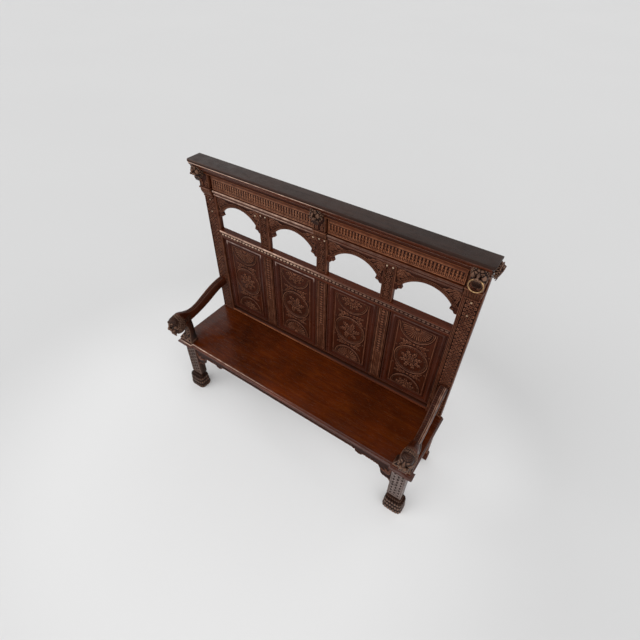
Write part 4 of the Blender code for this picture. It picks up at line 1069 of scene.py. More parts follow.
def pegs(name, spots, cy, r, out):
    """Slightly domed peg heads."""
    V, Q, N = [], [], []
    for x, z in spots:
        base = sum(len(a) for a in V)
        n = 16
        u = np.linspace(0, 2 * PI, n, endpoint=False)
        rows = [(r, 0.002), (r, -out * 0.55), (r * 0.86, -out * 0.88), (r * 0.5, -out)]
        for rr, dy in rows:
            V.append(np.column_stack([x + rr * np.cos(u), np.full(n, cy + dy), z + rr * np.sin(u)]))
        for i in range(len(rows) - 1):
            for j in range(n):
                k = (j + 1) % n
                Q.append((base + i * n + j, base + i * n + k, base + (i + 1) * n + k, base + (i + 1) * n + j))
        N.append(list(base + (len(rows) - 1) * n + np.arange(n)))
        N.append(list(base + np.arange(n))[::-1])
    return put(name, np.concatenate(V), Q, "peg", None, N, np.full(sum(len(a) for a in V), 0.2), sharp=60)


PEG = dict(dark=(0.15, 0.085, 0.045), mid=(0.27, 0.165, 0.095), light=(0.40, 0.27, 0.165), worn_and_lit=(0.52, 0.38, 0.25))
M["peg"] = oak("oak_pegs", "y", **PEG, rough=0.34, coat=0.3)
spots = []
for (x0, x1) in MUNTINS:
    c = (x0 + x1) / 2
    spots += [(c - 0.0165, 1.3440), (c + 0.0165, 1.3440)]
spots += [(-0.4530, 1.3300), (-0.0550, 1.3400)]
pegs("muntin_pegs", spots, F - 0.0002, 0.0046, 0.0022)

# ------------------------------------------------------------- plain rails
prof = [(BACK, 0.3850), (BACK, 0.5100), (F + 0.0180, 0.5100), (F + 0.0150, 0.5085), (F + 0.0142, 0.5060), (F + 0.0158, 0.5030),
        (F + 0.0165, 0.4960), (F + 0.0160, 0.4880), (F + 0.0140, 0.4820), (F + 0.0105, 0.4785), (F + 0.0080, 0.4770),
        (F + 0.0040, 0.4762), (F + 0.0022, 0.4745), (F + 0.0014, 0.4715), (F + 0.0018, 0.4680), (F + 0.0040, 0.4645),
        (F + 0.0070, 0.4612), (F + 0.0165, 0.4606), (F + 0.0165, 0.3850)]
# painted shade in the cove above the seat, painted highlight on the bead below it, strongest on the left
shade = [0, 0, 0, 0.3, 0.0, -0.7, -0.9, -0.9, -0.7, -0.4, 0.0, 0.7, 0.8, 0.6, 0.0, -0.3, -0.6, 0, 0]
prism_x("bottom_rail_mould", "frame_x", "bottom_rail", prof, -0.7557, 0.7557, nx=13, shade=shade, highlight_by_x=lit_from_left)

# ----------------------------------------------------------------------- seat
def half_outline(k, d):
    """Right half of the seat's outline, its ear reaching x = k, drawn in by d as a nosing.

    The front and the ears take all of d, the ends half of it and the back edges none.
    """
    nx, ny = 0.952, 0.307
    c = 0.738 * nx - 0.423 * ny + d
    y0, y1, y2 = -0.4230 + d, -0.4385 + d, -0.3850 - d
    r = max(0.0070 - d, 0.0004)
    pts = [((c - ny * y0) / nx, F + y0), ((c - ny * y1) / nx, F + y1)]
    for i in range(5):
        t = -PI / 2 + PI / 2 * i / 4
        pts.append((k - d - r + r * math.cos(t), F + y1 + r + r * math.sin(t)))
    side = 0.865 - 0.5 * d
    return pts + [(k - d, F + y2), (side, F + y2), (side, F + 0.0160), (0.8464, F + 0.0160), (0.8464, F - 0.0003),
                  (0.7554, F - 0.0003), (0.7554, F + 0.0162)]


def seat_outline(d):
    return np.array(half_outline(0.8775, d) + [(-x, y) for x, y in reversed(half_outline(0.8680, d))])


EDGE = [(0.0160, 0.4303), (0.0100, 0.4303), (0.0086, 0.4308), (0.0080, 0.4322), (0.0080, 0.4346), (0.0086, 0.4360),
        (0.0112, 0.4364), (0.0112, 0.4378), (0.0050, 0.4382), (0.0016, 0.4386), (0.0002, 0.4398), (0.0000, 0.4414),
        (0.0004, 0.4432), (0.0016, 0.4454), (0.0036, 0.4476), (0.0064, 0.4497), (0.0096, 0.4516), (0.0128, 0.4531),
        (0.0150, 0.4538), (0.0157, 0.4544), (0.0159, 0.4560), (0.0159, 0.4578), (0.0165, 0.4591), (0.0181, 0.4598),
        (0.0205, 0.4600)]
rings = [np.column_stack([seat_outline(d), np.full(len(seat_outline(d)), z)]) for d, z in EDGE]
m = len(rings[0])
V = np.concatenate(rings)
Q = []
for i in range(len(rings) - 1):
    for j in range(m):
        k = (j + 1) % m
        Q.append((i * m + j, i * m + k, (i + 1) * m + k, (i + 1) * m + j))
E = np.array(EDGE)
e1, e2 = E - np.roll(E, 1, 0), np.roll(E, -1, 0) - E
turn = -np.arctan2(e1[:, 0] * e2[:, 1] - e1[:, 1] * e2[:, 0], (e1 * e2).sum(1))
turn[[0, -1]] = 0
# painted light across the nosing, by height: a bright painted highlight band on its upper shoulder, painted dark lines
# at its grooves
painted_light_bands = np.interp(E[:, 1], [0.4300, 0.4414, 0.4432, 0.4476, 0.4497, 0.4516, 0.4538, 0.4548, 0.4580, 0.4590, 0.4600],
                [-0.3, 0.0, 0.15, 0.0, 0.05, 0.10, 1.60, -0.6, -0.5, 0.15, 0.0])
# positive values are scaled along x: the front keeps its painted highlight on the left and loses it towards the right;
# the left end keeps a weak one, the right end and the back none
rim = np.interp(V[:, 0], [-0.86, -0.80, -0.20, 0.35], [0.35, 1.0, 0.9, 0.08]) * (V[:, 1] < F - 0.30)
rim = np.where((V[:, 1] >= F - 0.30) & (V[:, 1] < F - 0.02) & (V[:, 0] < 0), 0.3, rim)
wear_and_light = np.repeat(turn * 0.3 + painted_light_bands, m)
# painted shade along the back edge, where the seat runs under the back
wear_and_light = np.where(wear_and_light > 0, wear_and_light * rim, wear_and_light) - 0.25 * (V[:, 1] > F - 0.02)
# painted shade on the right part of the front nosing, away from the light
wear_and_light = np.clip(wear_and_light - 0.35 * np.interp(V[:, 0], [-0.2, 0.4], [0, 1]) * (V[:, 1] < F - 0.30) * (V[:, 2] < 0.4595), -0.8, 1.0)
put("seat_plank", V, Q, "seat", "seat_board", [list(range(m))[::-1], list((len(rings) - 1) * m + np.arange(m))], wear_and_light,
    curv=0.0, sharp=42)

# ---------------------------------------------------------------------- apron


def apron_low(ax):
    pts = [(0.0, 0.366), (0.500, 0.366), (0.520, 0.364)]
    for k in range(1, 12):
        a = PI * k / 12
        pts.append((0.545 - 0.025 * math.cos(a), 0.362 - 0.020 * math.sin(a)))
    pts.append((0.575, 0.360))
    for k in range(1, 10):
        a = PI * k / 10
        pts.append((0.625 - 0.050 * math.cos(a), 0.358 + 0.006 * math.sin(a)))
    pts += [(0.680, 0.350), (0.688, 0.335), (0.690, 0.326), (0.694, 0.312), (0.700, 0.300), (0.709, 0.297), (0.716, 0.2985)]
    for k in range(0, 10):
        a = PI / 2 * k / 9
        pts.append((0.722 + 0.0357 * math.sin(a), 0.296 - 0.034 * (1 - math.cos(a))))
    p = np.array(pts)
    drop = np.interp(ax, [0.0, 0.50, 0.57, 0.60, 0.675, 0.690, 0.72, 0.757], [0.012, 0.012, 0.014, 0.020, 0.024, 0.030, 0.036, 0.036])
    teeth = 0.0036 * np.abs(np.sin(PI * (ax - 0.500) / 0.0170)) * (ax > 0.500) * (ax < 0.738)
    return np.interp(ax, p[:, 0], p[:, 1]) - drop - teeth


ax = np.concatenate([np.linspace(0, 0.50, 126), np.linspace(0.503, 0.680, 100), np.linspace(0.682, 0.7577, 62)])
xs = np.concatenate([-ax[:0:-1], ax])
v = np.concatenate([[0, 0.012, 0.03, 0.06], np.linspace(0.09, 0.94, 34), [0.97, 1.0]])
X = np.repeat(xs[None, :], len(v), 0)
zl = apron_low(np.abs(xs))[None, :]
Z = zl + (0.4297 - zl) * v[:, None]
d = Z - zl
H = 0.0022 * dome(d - 0.0060, 0.0026) + 0.0014 * dome(d - 0.0125, 0.0018)
H = H + 0.0026 * dome(Z - 0.4215, 0.0042) + 0.0016 * dome(Z - 0.4120, 0.0026)
A = np.abs(X)
G = np.zeros_like(X)
for ang, L, W, bd in ((2.55, 0.074, 0.0110, 0.15), (2.05, 0.062, 0.0110, 0.05), (1.57, 0.072, 0.0100, -0.12)):
    G = np.maximum(G, leaf(A, Z, 0.7430, 0.2950, ang, L, W, 0.0040, 4, bend=bd))
H = np.where((d > 0.015) & (G > 0), np.maximum(H, G), H)
u = X / 0.0500
f = u - np.floor(u) - 0.5
lun = (np.abs(X) < 0.50) & (Z > 0.3800) & (Z < 0.4080)
arc = np.hypot(f * 0.0500, (Z - 0.3815))
fl = 0.0024 * dome(arc - 0.0215, 0.0020) + 0.0020 * fan(f * 0.05, Z, 0, 0.3815, 0.0180, 0, PI, 5, 1.0, 0.2)
H = H + np.where(lun, fl, 0)
H = H - arris(d, 0.0018)
V, Q, N = slab_data(X, Z, F - 0.3935 - H, F - 0.374)
wear_and_light = np.zeros(len(V))
wear_and_light[:H.size] = level(H, -0.0014, 0.0030, 0.45).ravel() - 0.30
put("carved_apron", V, Q, "carved_x", "front_apron", N, wear_and_light, unseen=len(V) - H.size)

# ----------------------------------------------------------------- front legs


def leg_height(X, Z):
    x = X - 0.8020
    tall = (Z > 0.1290) & (Z < 0.4230)
    zone = (np.abs(x) < 0.0365) & tall
    H = np.where(tall, 0.0016 * dome(np.abs(x) - 0.0392, 0.0016) - 0.0016 * dome(np.abs(x) - 0.0372, 0.0009), 0.0)
    px, pz = 0.0236, 0.0310
    u = x / px
    cx = np.clip(np.round(u), -1, 1)
    w = (Z - 0.1440) / pz - 0.5 * (cx == 0)
    dx = (u - cx) * px
    dz = (w - np.round(w)) * pz
    best = np.abs(dx) / 0.0100 + np.abs(dz) / 0.0138
    hole = np.clip(1 - best, 0, 1)
    H = H - np.where(zone, 0.0090 * hole ** 0.55, 0.0)
    H = H + np.where(zone, 0.0008 * np.clip(1 - np.abs(best - 1.16) / 0.16, 0, 1), 0.0)
    return H - arris(edge_distance(X, Z), 0.0024)


for side, s in SIDES:
    # the right leg takes the pale palette with its painted reflection, the left leg the darker one with painted shade
    slab("carved_leg_" + side, "leg" if side == "right" else "leg_left", "front_leg_" + side, ticks(0.758, 0.846, 0.0012), ticks(0.1203, 0.4297, 0.0016),
         leg_height, F - 0.400, F - 0.348, s, lo=-0.0032, hi=0.0012, k=1.0, flank=-1.0)

# ------------------------------------------------------------- sculpted pieces


def sphere_grid(nu=20, nv=11):
    u = np.linspace(0, 2 * PI, nu, endpoint=False)
    V = [(0, 0, -1)]
    for i in range(1, nv):
        t = -PI / 2 + PI * i / nv
        V += [(math.cos(t) * math.cos(a), math.cos(t) * math.sin(a), math.sin(t)) for a in u]
    V.append((0, 0, 1))
    T = []
    for j in range(nu):
        T.append((0, 1 + (j + 1) % nu, 1 + j))
        T.append((len(V) - 1, 1 + (nv - 2) * nu + j, 1 + (nv - 2) * nu + (j + 1) % nu))
    for i in range(nv - 2):
        for j in range(nu):
            k = (j + 1) % nu
            a, b = 1 + i * nu, 1 + (i + 1) * nu
            T.append((a + j, a + k, b + k, b + j))
    return np.array(V), T


BALL_V, BALL_F = sphere_grid()


class Clay:
    """Lumps that are fused into one smooth body."""

    def __init__(self):
        self.V, self.F = [], []

    def add(self, P):
        base = sum(len(a) for a in self.V)
        self.V.append(P)
        self.F += [tuple(base + i for i in f) for f in BALL_F]

    def ball(self, c, r, rot=None):
        P = BALL_V * np.array(r if np.ndim(r) else (r, r, r))
        if rot is not None:
            P = P @ np.array(rot.to_matrix() if hasattr(rot, "to_matrix") else rot).T
        self.add(P + np.array(c))

    def rod(self, a, b, ra, rb, flat=1.0):
        """Tapered rod from a to b."""
        a, b = np.array(a, float), np.array(b, float)
        d = b - a
        L = np.linalg.norm(d)
        q = Vector(d / L).to_track_quat("Z", "Y").to_matrix()
        t = BALL_V[:, 2]
        rr = np.where(t > 0, rb, ra)
        w = 0.5 + 0.5 * t
        P = np.empty_like(BALL_V)
        mid = ra + (rb - ra) * w
        P[:, 0] = BALL_V[:, 0] * mid
        P[:, 1] = BALL_V[:, 1] * mid * flat
        P[:, 2] = t * (L / 2 + rr)
        P = P @ np.array(q).T
        self.add(P + (a + b) / 2)

    def lock(self, pts, r0, r1, flat=1.0):
        """Tapered lock of hair through the points."""
        n = len(pts) - 1
        for i in range(n):
            self.rod(pts[i], pts[i + 1], r0 + (r1 - r0) * i / n, r0 + (r1 - r0) * (i + 1) / n, flat)

    def fuse(self, voxel, smooth=2):
        """Vertices and quads of the fused body."""
        me = bpy.data.meshes.new("clay")
        me.from_pydata(np.concatenate(self.V).tolist(), [], self.F)
        ob = bpy.data.objects.new("clay", me)
        scene.collection.objects.link(ob)
        md = ob.modifiers.new("r", "REMESH")
        md.mode = "VOXEL"
        md.voxel_size = voxel
        dg = bpy.context.evaluated_depsgraph_get()
        dg.update()
        out = bpy.data.meshes.new_from_object(ob.evaluated_get(dg))
        n = len(out.vertices)
        co = np.empty(n * 3, np.float32)
        out.vertices.foreach_get("co", co)
        co = co.reshape(-1, 3).astype(float)
        e = np.empty(len(out.edges) * 2, np.int32)
        out.edges.foreach_get("vertices", e)
        e = e.reshape(-1, 2)
        polys = [list(p.vertices) for p in out.polygons]
        bpy.data.objects.remove(ob)
        bpy.data.meshes.remove(me)
        bpy.data.meshes.remove(out)
        deg = np.bincount(e.ravel(), minlength=n)[:, None] + 1e-9
        for _ in range(smooth):
            for lam in (0.55, -0.50):
                m = np.stack([np.bincount(e[:, 0], co[e[:, 1], k], n) + np.bincount(e[:, 1], co[e[:, 0], k], n)
                              for k in range(3)], 1) / deg
                co = co + lam * (m - co)
        Q = np.array([p for p in polys if len(p) == 4], np.int32)
        N = [p for p in polys if len(p) != 4]
        return co, Q, N


def lion_clay(long_mane):
    """Lion's head facing -y, one unit wide, eyes at z = 0.1."""
    c = Clay()
    c.ball((0, 0.02, 0.06), (0.35, 0.38, 0.38))
    for s in (-1, 1):
        c.ball((s * 0.215, -0.20, -0.06), (0.17, 0.20, 0.19))         # cheeks
        c.ball((s * 0.125, -0.33, 0.205), (0.125, 0.10, 0.070), Matrix.Rotation(-s * 0.35, 3, "Y"))   # brow
        c.rod((s * 0.05, -0.40, 0.165), (s * 0.235, -0.27, 0.150), 0.040, 0.030)     # upper lid
        c.ball((s * 0.150, -0.335, 0.105), 0.052)                     # eye
        c.rod((s * 0.085, -0.375, 0.055), (s * 0.225, -0.28, 0.060), 0.024, 0.020)   # lower lid
        c.ball((s * 0.095, -0.515, -0.140), (0.115, 0.105, 0.095))    # muzzle
        c.ball((s * 0.165, -0.420, -0.165), (0.095, 0.11, 0.085))
        c.ball((s * 0.325, -0.06, 0.335), (0.090, 0.060, 0.105), Matrix.Rotation(s * 0.5, 3, "Y"))    # ear
        c.ball((s * 0.070, -0.20, 0.330), (0.10, 0.14, 0.11))         # forehead tufts
    c.rod((0, -0.34, 0.20), (0, -0.545, 0.000), 0.080, 0.070)         # bridge
    c.ball((0, -0.575, -0.035), (0.088, 0.060, 0.050))                # nose
    c.ball((0, -0.470, -0.130), (0.16, 0.12, 0.09))
    c.ball((0, -0.400, -0.335), (0.115, 0.115, 0.075))                # chin
    c.rod((-0.085, -0.435, -0.275), (0.085, -0.435, -0.275), 0.028, 0.028)
    c.ball((0, -0.28, -0.28), (0.17, 0.16, 0.12))
    rows = ((17, 0.395, 0.540, -0.11, 0.00, 0.072, 0.034, 0.24), (17, 0.420, 0.600, 0.02, 0.14, 0.078, 0.036, -0.22),
            (15, 0.400, 0.560, 0.17, 0.30, 0.080, 0.040, 0.20))
    for q, (n, r0, r1, y0, y1, w0, w1, tw) in enumerate(rows):
        for k in range(n):
            a = 2 * PI * (k + 0.5 * (q % 2)) / n + PI / 2
            p = []
            for t in (0.0, 0.35, 0.7, 1.0):
                r = r0 + (r1 - r0) * t
                b = a + tw * t * (1 if math.cos(a) >= 0 else -1) + 0.10 * math.sin(3.0 * t)
                sx = 0.80
                p.append((sx * r * math.cos(b), y0 + (y1 - y0) * t * t, 0.02 + r * math.sin(b) * 0.98))
            c.lock(p, w0, w1)
    if long_mane:
        # beard and throat: locks that hang under the chin and sweep back
        c.ball((0, -0.10, -0.42), (0.26, 0.26, 0.32))
        c.ball((0, 0.05, -0.62), (0.21, 0.20, 0.22))
        for k in range(7):
            x = (k - 3) * 0.092
            y = -0.34 + 0.22 * (abs(k - 3) / 3) ** 2
            c.lock([(x * 0.8, y, -0.36), (x * 1.05, y + 0.01, -0.52), (x * 0.95, y + 0.06, -0.68),
                    (x * 0.7, y + 0.13, -0.84 + 0.02 * abs(k - 3))], 0.062, 0.030)
        for k in range(6):
            x = (k - 2.5) * 0.115
            y = -0.16 + 0.20 * (abs(k - 2.5) / 2.5) ** 2
            c.lock([(x, y, -0.50), (x * 1.1, y + 0.03, -0.66), (x * 0.9, y + 0.08, -0.82), (x * 0.6, y + 0.15, -0.96)],
                   0.062, 0.030)
    else:
        for k in range(5):
            x = (k - 2) * 0.100
            c.lock([(x, -0.30, -0.40), (x * 1.1, -0.26, -0.54), (x * 0.7, -0.20, -0.68)], 0.062, 0.030)
    return c


MASK_V, MASK_Q, MASK_N = lion_clay(False).fuse(0.019, 1)
MLO, MHI = MASK_V.min(0), MASK_V.max(0)
LEVELS = [MLO[2], -0.335, -0.220, -0.035, 0.105, 0.440, MHI[2]]


def hold(v, lim, k):
    """Press whatever stands beyond the limit back towards it."""
    return np.where(v < lim, lim + k * (v - lim), v)


for nm, cx in (("left", -0.808), ("centre", 0.0), ("right", 0.808)):
    low = 0.0 if nm == "right" else 0.0170
    z = np.interp(MASK_V[:, 2], LEVELS, [1.4430 + low, 1.4790 + 0.7 * low, 1.4980 + 0.55 * low, 1.5145 + 0.4 * low,
                                         1.5290 + 0.3 * low, 1.5480, 1.5560])
    x = MASK_V[:, 0] * (0.086 if nm == "right" else 0.076)
    y = -0.0300 - (MHI[1] - MASK_V[:, 1]) / (MHI[1] - MLO[1]) * 0.0680
    lim = np.interp(z, [1.4430, 1.4700, 1.4870, 1.4900, 1.5055, 1.5090, 1.5560],
                    [-0.0520, -0.0600, -0.0635, -0.0590, -0.0590, -0.0980, -0.0980])
    y = hold(y, lim, 0.12)
    # the masks are darker overall and lightened on their highest curves: abrasion with painted highlights
    put("carved_mask_" + nm, np.column_stack([cx + x, F + y, z]), MASK_Q, "limb", "lion_mask_" + nm, MASK_N,
        np.full(len(MASK_V), -0.40), reach=0.004, curv=1.1)
for side, s in SIDES:
    z = np.interp(MASK_V[:, 2], LEVELS, [1.4810, 1.5080, 1.5180, 1.5310, 1.5420, 1.5580, 1.5640])
    out = (MHI[1] - MASK_V[:, 1]) / (MHI[1] - MLO[1]) * 0.0480
    lim = np.interp(z, [1.4810, 1.4965, 1.5237, 1.5450, 1.5640], [0.0100, 0.0180, 0.0250, 0.0345, 0.0385])
    out = -hold(-out, -lim, 0.25)
    V = np.column_stack([s * (0.8488 + out - 0.0005), F - 0.004 + s * MASK_V[:, 0] * 0.078, z])
    # the end masks are darker overall and lightened on their highest curves: abrasion with painted highlights
    put("carved_end_mask_" + side, V, MASK_Q, "limb", "lion_mask_end_" + side, MASK_N, np.full(len(V), -0.40),
        reach=0.004, curv=1.2)

# --------------------------------------------------------------- arms and heads
ARM = np.array([
    (0.0003, 0.7450, 0.6990, 0.8090, 0.0265), (0.0300, 0.7440, 0.6960, 0.8095, 0.0255),
    (0.0700, 0.7380, 0.6860, 0.8110, 0.0240), (0.1100, 0.7280, 0.6680, 0.8135, 0.0225),
    (0.1500, 0.7130, 0.6480, 0.8160, 0.0212), (0.1900, 0.6950, 0.6310, 0.8185, 0.0203),
    (0.2300, 0.6765, 0.6175, 0.8205, 0.0198), (0.2700, 0.6635, 0.6080, 0.8215, 0.0197),
    (0.3050, 0.6590, 0.6010, 0.8225, 0.0200), (0.3400, 0.6640, 0.5950, 0.8240, 0.0220),
    (0.3650, 0.6750, 0.5880, 0.8255, 0.0270), (0.3900, 0.6860, 0.5760, 0.8270, 0.0310),
    (0.4150, 0.6900, 0.5650, 0.8280, 0.0310), (0.4300, 0.6800, 0.5750, 0.8280, 0.0240)])


def spline(x, xp, fp):
    """Smooth curve through points (Catmull-Rom)."""
    m = np.gradient(fp, xp)
    k = np.clip(np.searchsorted(xp, x) - 1, 0, len(xp) - 2)
    h = xp[k + 1] - xp[k]
    t = (x - xp[k]) / h
    return ((2 * t ** 3 - 3 * t ** 2 + 1) * fp[k] + (t ** 3 - 2 * t ** 2 + t) * h * m[k] + (-2 * t ** 3 + 3 * t ** 2) * fp[k + 1]
            + (t ** 3 - t ** 2) * h * m[k + 1])


def arm_data():
    D = np.concatenate([np.arange(0.0003, 0.4300, 0.0023), [0.4300]])
    cols = [spline(D, ARM[:, 0], ARM[:, k]) for k in range(1, 5)]
    nA = 132
    A = 2 * PI * np.arange(nA) / nA
    ca, sa = np.cos(A), np.sin(A)
    e = np.where(sa > 0, 0.80, 0.46)
    ux, uz = np.sign(ca) * np.abs(ca) ** e, np.sign(sa) * np.abs(sa) ** e
    zt, zb, xc, hw = (c[:, None] for c in cols)
    zt, zb, hw = zt + 0.0015, zb - 0.0090, hw + 0.0010
    zc, hh = (zt + zb) / 2, (zt - zb) / 2
    X = xc + hw * ux[None]
    Zz = zc + hh * uz[None]
    Y = F - np.repeat(D[:, None], nA, 1)
    # place across and round the arm for the carving
    ang = np.repeat(A[None], len(D), 0)
    along = np.concatenate([[0], np.cumsum(np.hypot(np.diff(D), np.diff(zt[:, 0])))])[:, None] + 0 * ang
    top = np.sin(ang) > 0.30
    acr = X - xc
    H = np.zeros_like(X)
    span = step(0.012, 0.020, D)[:, None] * (1 - step(0.345, 0.360, D)[:, None])
    # overlapping leaves on the top, inside a bead on either side
    S = scales(acr, -along, -0.0120, 0.0050, -0.6, 0.0, 2, 0.0125, 0.0034, 0.5)
    carve = top & (acr > -0.0128) & (acr < 0.0058)
    H = np.where(carve, -0.0026 + S, H)
    for c0, w, h in ((-0.0148, 0.0018, 0.0012), (0.0082, 0.0022, 0.0020), (0.0156, 0.0034, 0.0026)):
        H = np.where(top, H + h * dome(acr - c0, w), H)
    H = np.where(top, H - 0.0022 * dome(acr - 0.0114, 0.0013), H)
    # painted highlight: a bright line along the outer bead and a fainter one on the inner bead, with a painted dark
    # line in the groove between
    painted_light_bands = np.where(top, 0.35 * dome(acr - 0.0082, 0.0018) + 1.3 * dome(acr - 0.0152, 0.0015) - 0.8 * dome(acr - 0.0114, 0.0012), 0.0)
    # two lines along each side
    for s0 in (0.0, PI):
        da = np.abs((ang - s0 + PI) % (2 * PI) - PI)
        H = H - np.where(da < 0.8, 0.0013 * dome((ang - s0 + PI) % (2 * PI) - PI - 0.30, 0.07), 0)
        H = H - np.where(da < 0.8, 0.0013 * dome((ang - s0 + PI) % (2 * PI) - PI + 0.30, 0.07), 0)
    H = H * span
    nrm = np.stack([np.sign(ca) * np.abs(ca) ** 0.9, 0 * ca, np.sign(sa) * np.abs(sa) ** 0.9], -1)
    nrm /= np.linalg.norm(nrm, axis=1)[:, None]
    P = np.stack([X, Y, Zz], -1) + H[..., None] * nrm[None]
    V = P.reshape(-1, 3)
    i, j = np.meshgrid(np.arange(len(D) - 1), np.arange(nA), indexing="ij")
    a, b = (i * nA + j).ravel(), (i * nA + (j + 1) % nA).ravel()
    Q = np.stack([a, b, b + nA, a + nA], 1)
    N = [list(range(nA))[::-1], list((len(D) - 1) * nA + np.arange(nA))]
    return V, Q, N, ((level(H, -0.0026, 0.0030, 0.42) + painted_light_bands) * np.repeat(span, nA, 1)).ravel()


def head_clay():
    """Lion's head at the end of the right arm, looking forward and down, with a full mane."""
    c = Clay()

    def p(x, d, z):
        return (0.8260 + x, F - d, z)

    c.rod(p(0, 0.338, 0.628), p(0, 0.400, 0.626), 0.0300, 0.0390, 1.0)
    c.ball(p(0, 0.418, 0.614), (0.0385, 0.0540, 0.0720))
    c.ball(p(0, 0.446, 0.648), (0.0345, 0.0400, 0.0400))
    c.ball(p(0, 0.440, 0.580), (0.0290, 0.0330, 0.0300))
    for s in (-1, 1):
        c.ball(p(s * 0.0130, 0.4760, 0.6600), (0.0115, 0.0085, 0.0070), Matrix.Rotation(-s * 0.35, 3, "Y"))
        c.rod(p(s * 0.0060, 0.4850, 0.6550), p(s * 0.0230, 0.4740, 0.6520), 0.0030, 0.0024)
        c.ball(p(s * 0.0150, 0.4795, 0.6470), 0.0046)
        c.ball(p(s * 0.0240, 0.4640, 0.6300), (0.0120, 0.0140, 0.0150))
        c.ball(p(s * 0.0095, 0.4880, 0.6150), (0.0115, 0.0100, 0.0105))
        c.ball(p(s * 0.0180, 0.4780, 0.6080), (0.0110, 0.0120, 0.0115))
        for q in range(4):
            c.rod(p(s * (0.009 + 0.004 * q), 0.4975 - 0.004 * q, 0.6165 - 0.0022 * q),
                  p(s * (0.015 + 0.005 * q), 0.4930 - 0.005 * q, 0.6130 - 0.0030 * q), 0.0012, 0.0008)
    c.rod(p(0, 0.4760, 0.6640), p(0, 0.4920, 0.6380), 0.0080, 0.0072)
    c.ball(p(0, 0.4955, 0.6310), (0.0095, 0.0055, 0.0058))
    # open mouth: lower jaw, lip, tongue, chin tuft
    c.ball(p(0, 0.4600, 0.5750), (0.0215, 0.0240, 0.0110))
    c.rod(p(-0.0120, 0.4770, 0.5790), p(0.0120, 0.4770, 0.5790), 0.0046, 0.0046)
    c.ball(p(0, 0.4740, 0.5850), (0.0085, 0.0120, 0.0045))
    for q in (-1, 1):
        c.ball(p(q * 0.0115, 0.4850, 0.6020), (0.0024, 0.0026, 0.0065))
    for q in range(5):
        x = (q - 2) * 0.0085
        c.lock([p(x, 0.4740 - 0.3 * abs(x), 0.5690), p(x * 1.1, 0.4730, 0.5590), p(x, 0.4680, 0.5510)], 0.0062, 0.0030)
    # the mane: rows of small curled tufts swept back from the face
    C, R = np.array([0.0, 0.420, 0.616]), np.array([0.0385, 0.0560, 0.0725])
    for row in range(9):
        t0 = 34 + 12.5 * row
        n = int(round(30 * math.sin(math.radians(min(t0 + 8, 90))) + 4))
        for k in range(n):
            f0 = 2 * PI * (k + 0.5 * (row % 2)) / n + PI / 2
            if row < 2 and math.sin(f0) < -0.15:
                continue
            pts = []
            side = 1 if math.cos(f0) > 0 else -1
            for t in (0.0, 0.4, 0.75, 1.0):
                th = math.radians(t0 + 15.5 * t)
                f = f0 + side * 0.10 * t + 0.07 * math.sin(5 * t + 1.7 * k + row)
                r = 1.05 - 0.012 * row + 0.035 * math.sin(PI * min(t * 1.2, 1.0))
                u = np.array([math.sin(th) * math.cos(f), math.cos(th), math.sin(th) * math.sin(f)])
                q = C + u * R * r
                pts.append(p(*q))
            c.lock(pts, 0.0044, 0.0022)
    return c


HEAD_V, HEAD_Q, HEAD_N = head_clay().fuse(0.0013, 1)
print("head", HEAD_V.min(0) - np.array([0, F, 0]), HEAD_V.max(0) - np.array([0, F, 0]))
AV, AQ, AN, ARM_WEAR_AND_LIGHT = arm_data()
for side, s in SIDES:
    V, Q, N = (AV, AQ, AN) if s > 0 else flip(AV, AQ, AN)
    # the left arm keeps under half of the painted highlight and abrasion, the right arm all of it; both a little darker
    # overall
    put("carved_arm_" + side, V, Q, "limb_y", "arm_" + side, N, ARM_WEAR_AND_LIGHT * (1.0 if s > 0 else 0.45) - 0.12, curv=0.45)
    V, Q, N = (HEAD_V, HEAD_Q, HEAD_N) if s > 0 else flip(HEAD_V, HEAD_Q, HEAD_N)
    # the heads are darker overall and lightened on their highest curves: abrasion with painted highlight strokes
    put("carved_arm_head_" + side, V, Q, "limb", None, N, wear_and_light=np.full(len(V), -0.56), reach=0.004, curv=1.22)

# arm supports: flared posts with a carved face
SUP = np.array([(0.4603, 0.750, 0.858, 0.416, 0.356), (0.474, 0.752, 0.856, 0.416, 0.356), (0.480, 0.760, 0.852, 0.409, 0.354),
                (0.492, 0.772, 0.846, 0.398, 0.350), (0.508, 0.780, 0.836, 0.388, 0.345), (0.525, 0.786, 0.834, 0.383, 0.341),
                (0.545, 0.790, 0.836, 0.381, 0.339), (0.565, 0.793, 0.840, 0.383, 0.338), (0.585, 0.796, 0.846, 0.390, 0.338),
                (0.612, 0.798, 0.850, 0.396, 0.338)])
zs = np.concatenate([[0.4603, 0.4610, 0.4622], np.linspace(0.464, 0.612, 62)])
xa, xb, d0, d1 = (np.interp(zs, SUP[:, 0], SUP[:, k]) for k in range(1, 5))
nu = 36
uu = np.concatenate([[0, 0.012, 0.03], np.linspace(0.055, 0.945, nu), [0.97, 0.988, 1]])
X = xa[:, None] + (xb - xa)[:, None] * uu[None]
Z = np.repeat(zs[:, None], len(uu), 1)
W = (xb - xa)[:, None]
xc = X - (xa + xb)[:, None] / 2
H = np.where((np.abs(xc) < W / 2 - 0.007) & (Z > 0.4740), -0.0022, 0.0)
H = np.maximum(H, -0.0022 + leaf(xc, Z, 0.0, 0.4750, PI / 2, 0.0860, 0.0180, 0.0052, 5))
for s_ in (-1, 1):
    H = np.where(Z > 0.474, np.maximum(H, -0.0022 + leaf(s_ * xc, Z, 0.006, 0.4740, 0.55, 0.0400, 0.0090, 0.0046, 3)), H)
H = H + 0.0016 * dome(Z - 0.4672, 0.0030)
H = H - arris(np.minimum(X - xa[:, None], xb[:, None] - X), 0.0018)
Yf = F - d0[:, None] - H
V, Q, N = slab_data(X, Z, Yf, 0.0)
nf = X.size
idx = np.arange(nf).reshape(X.shape)
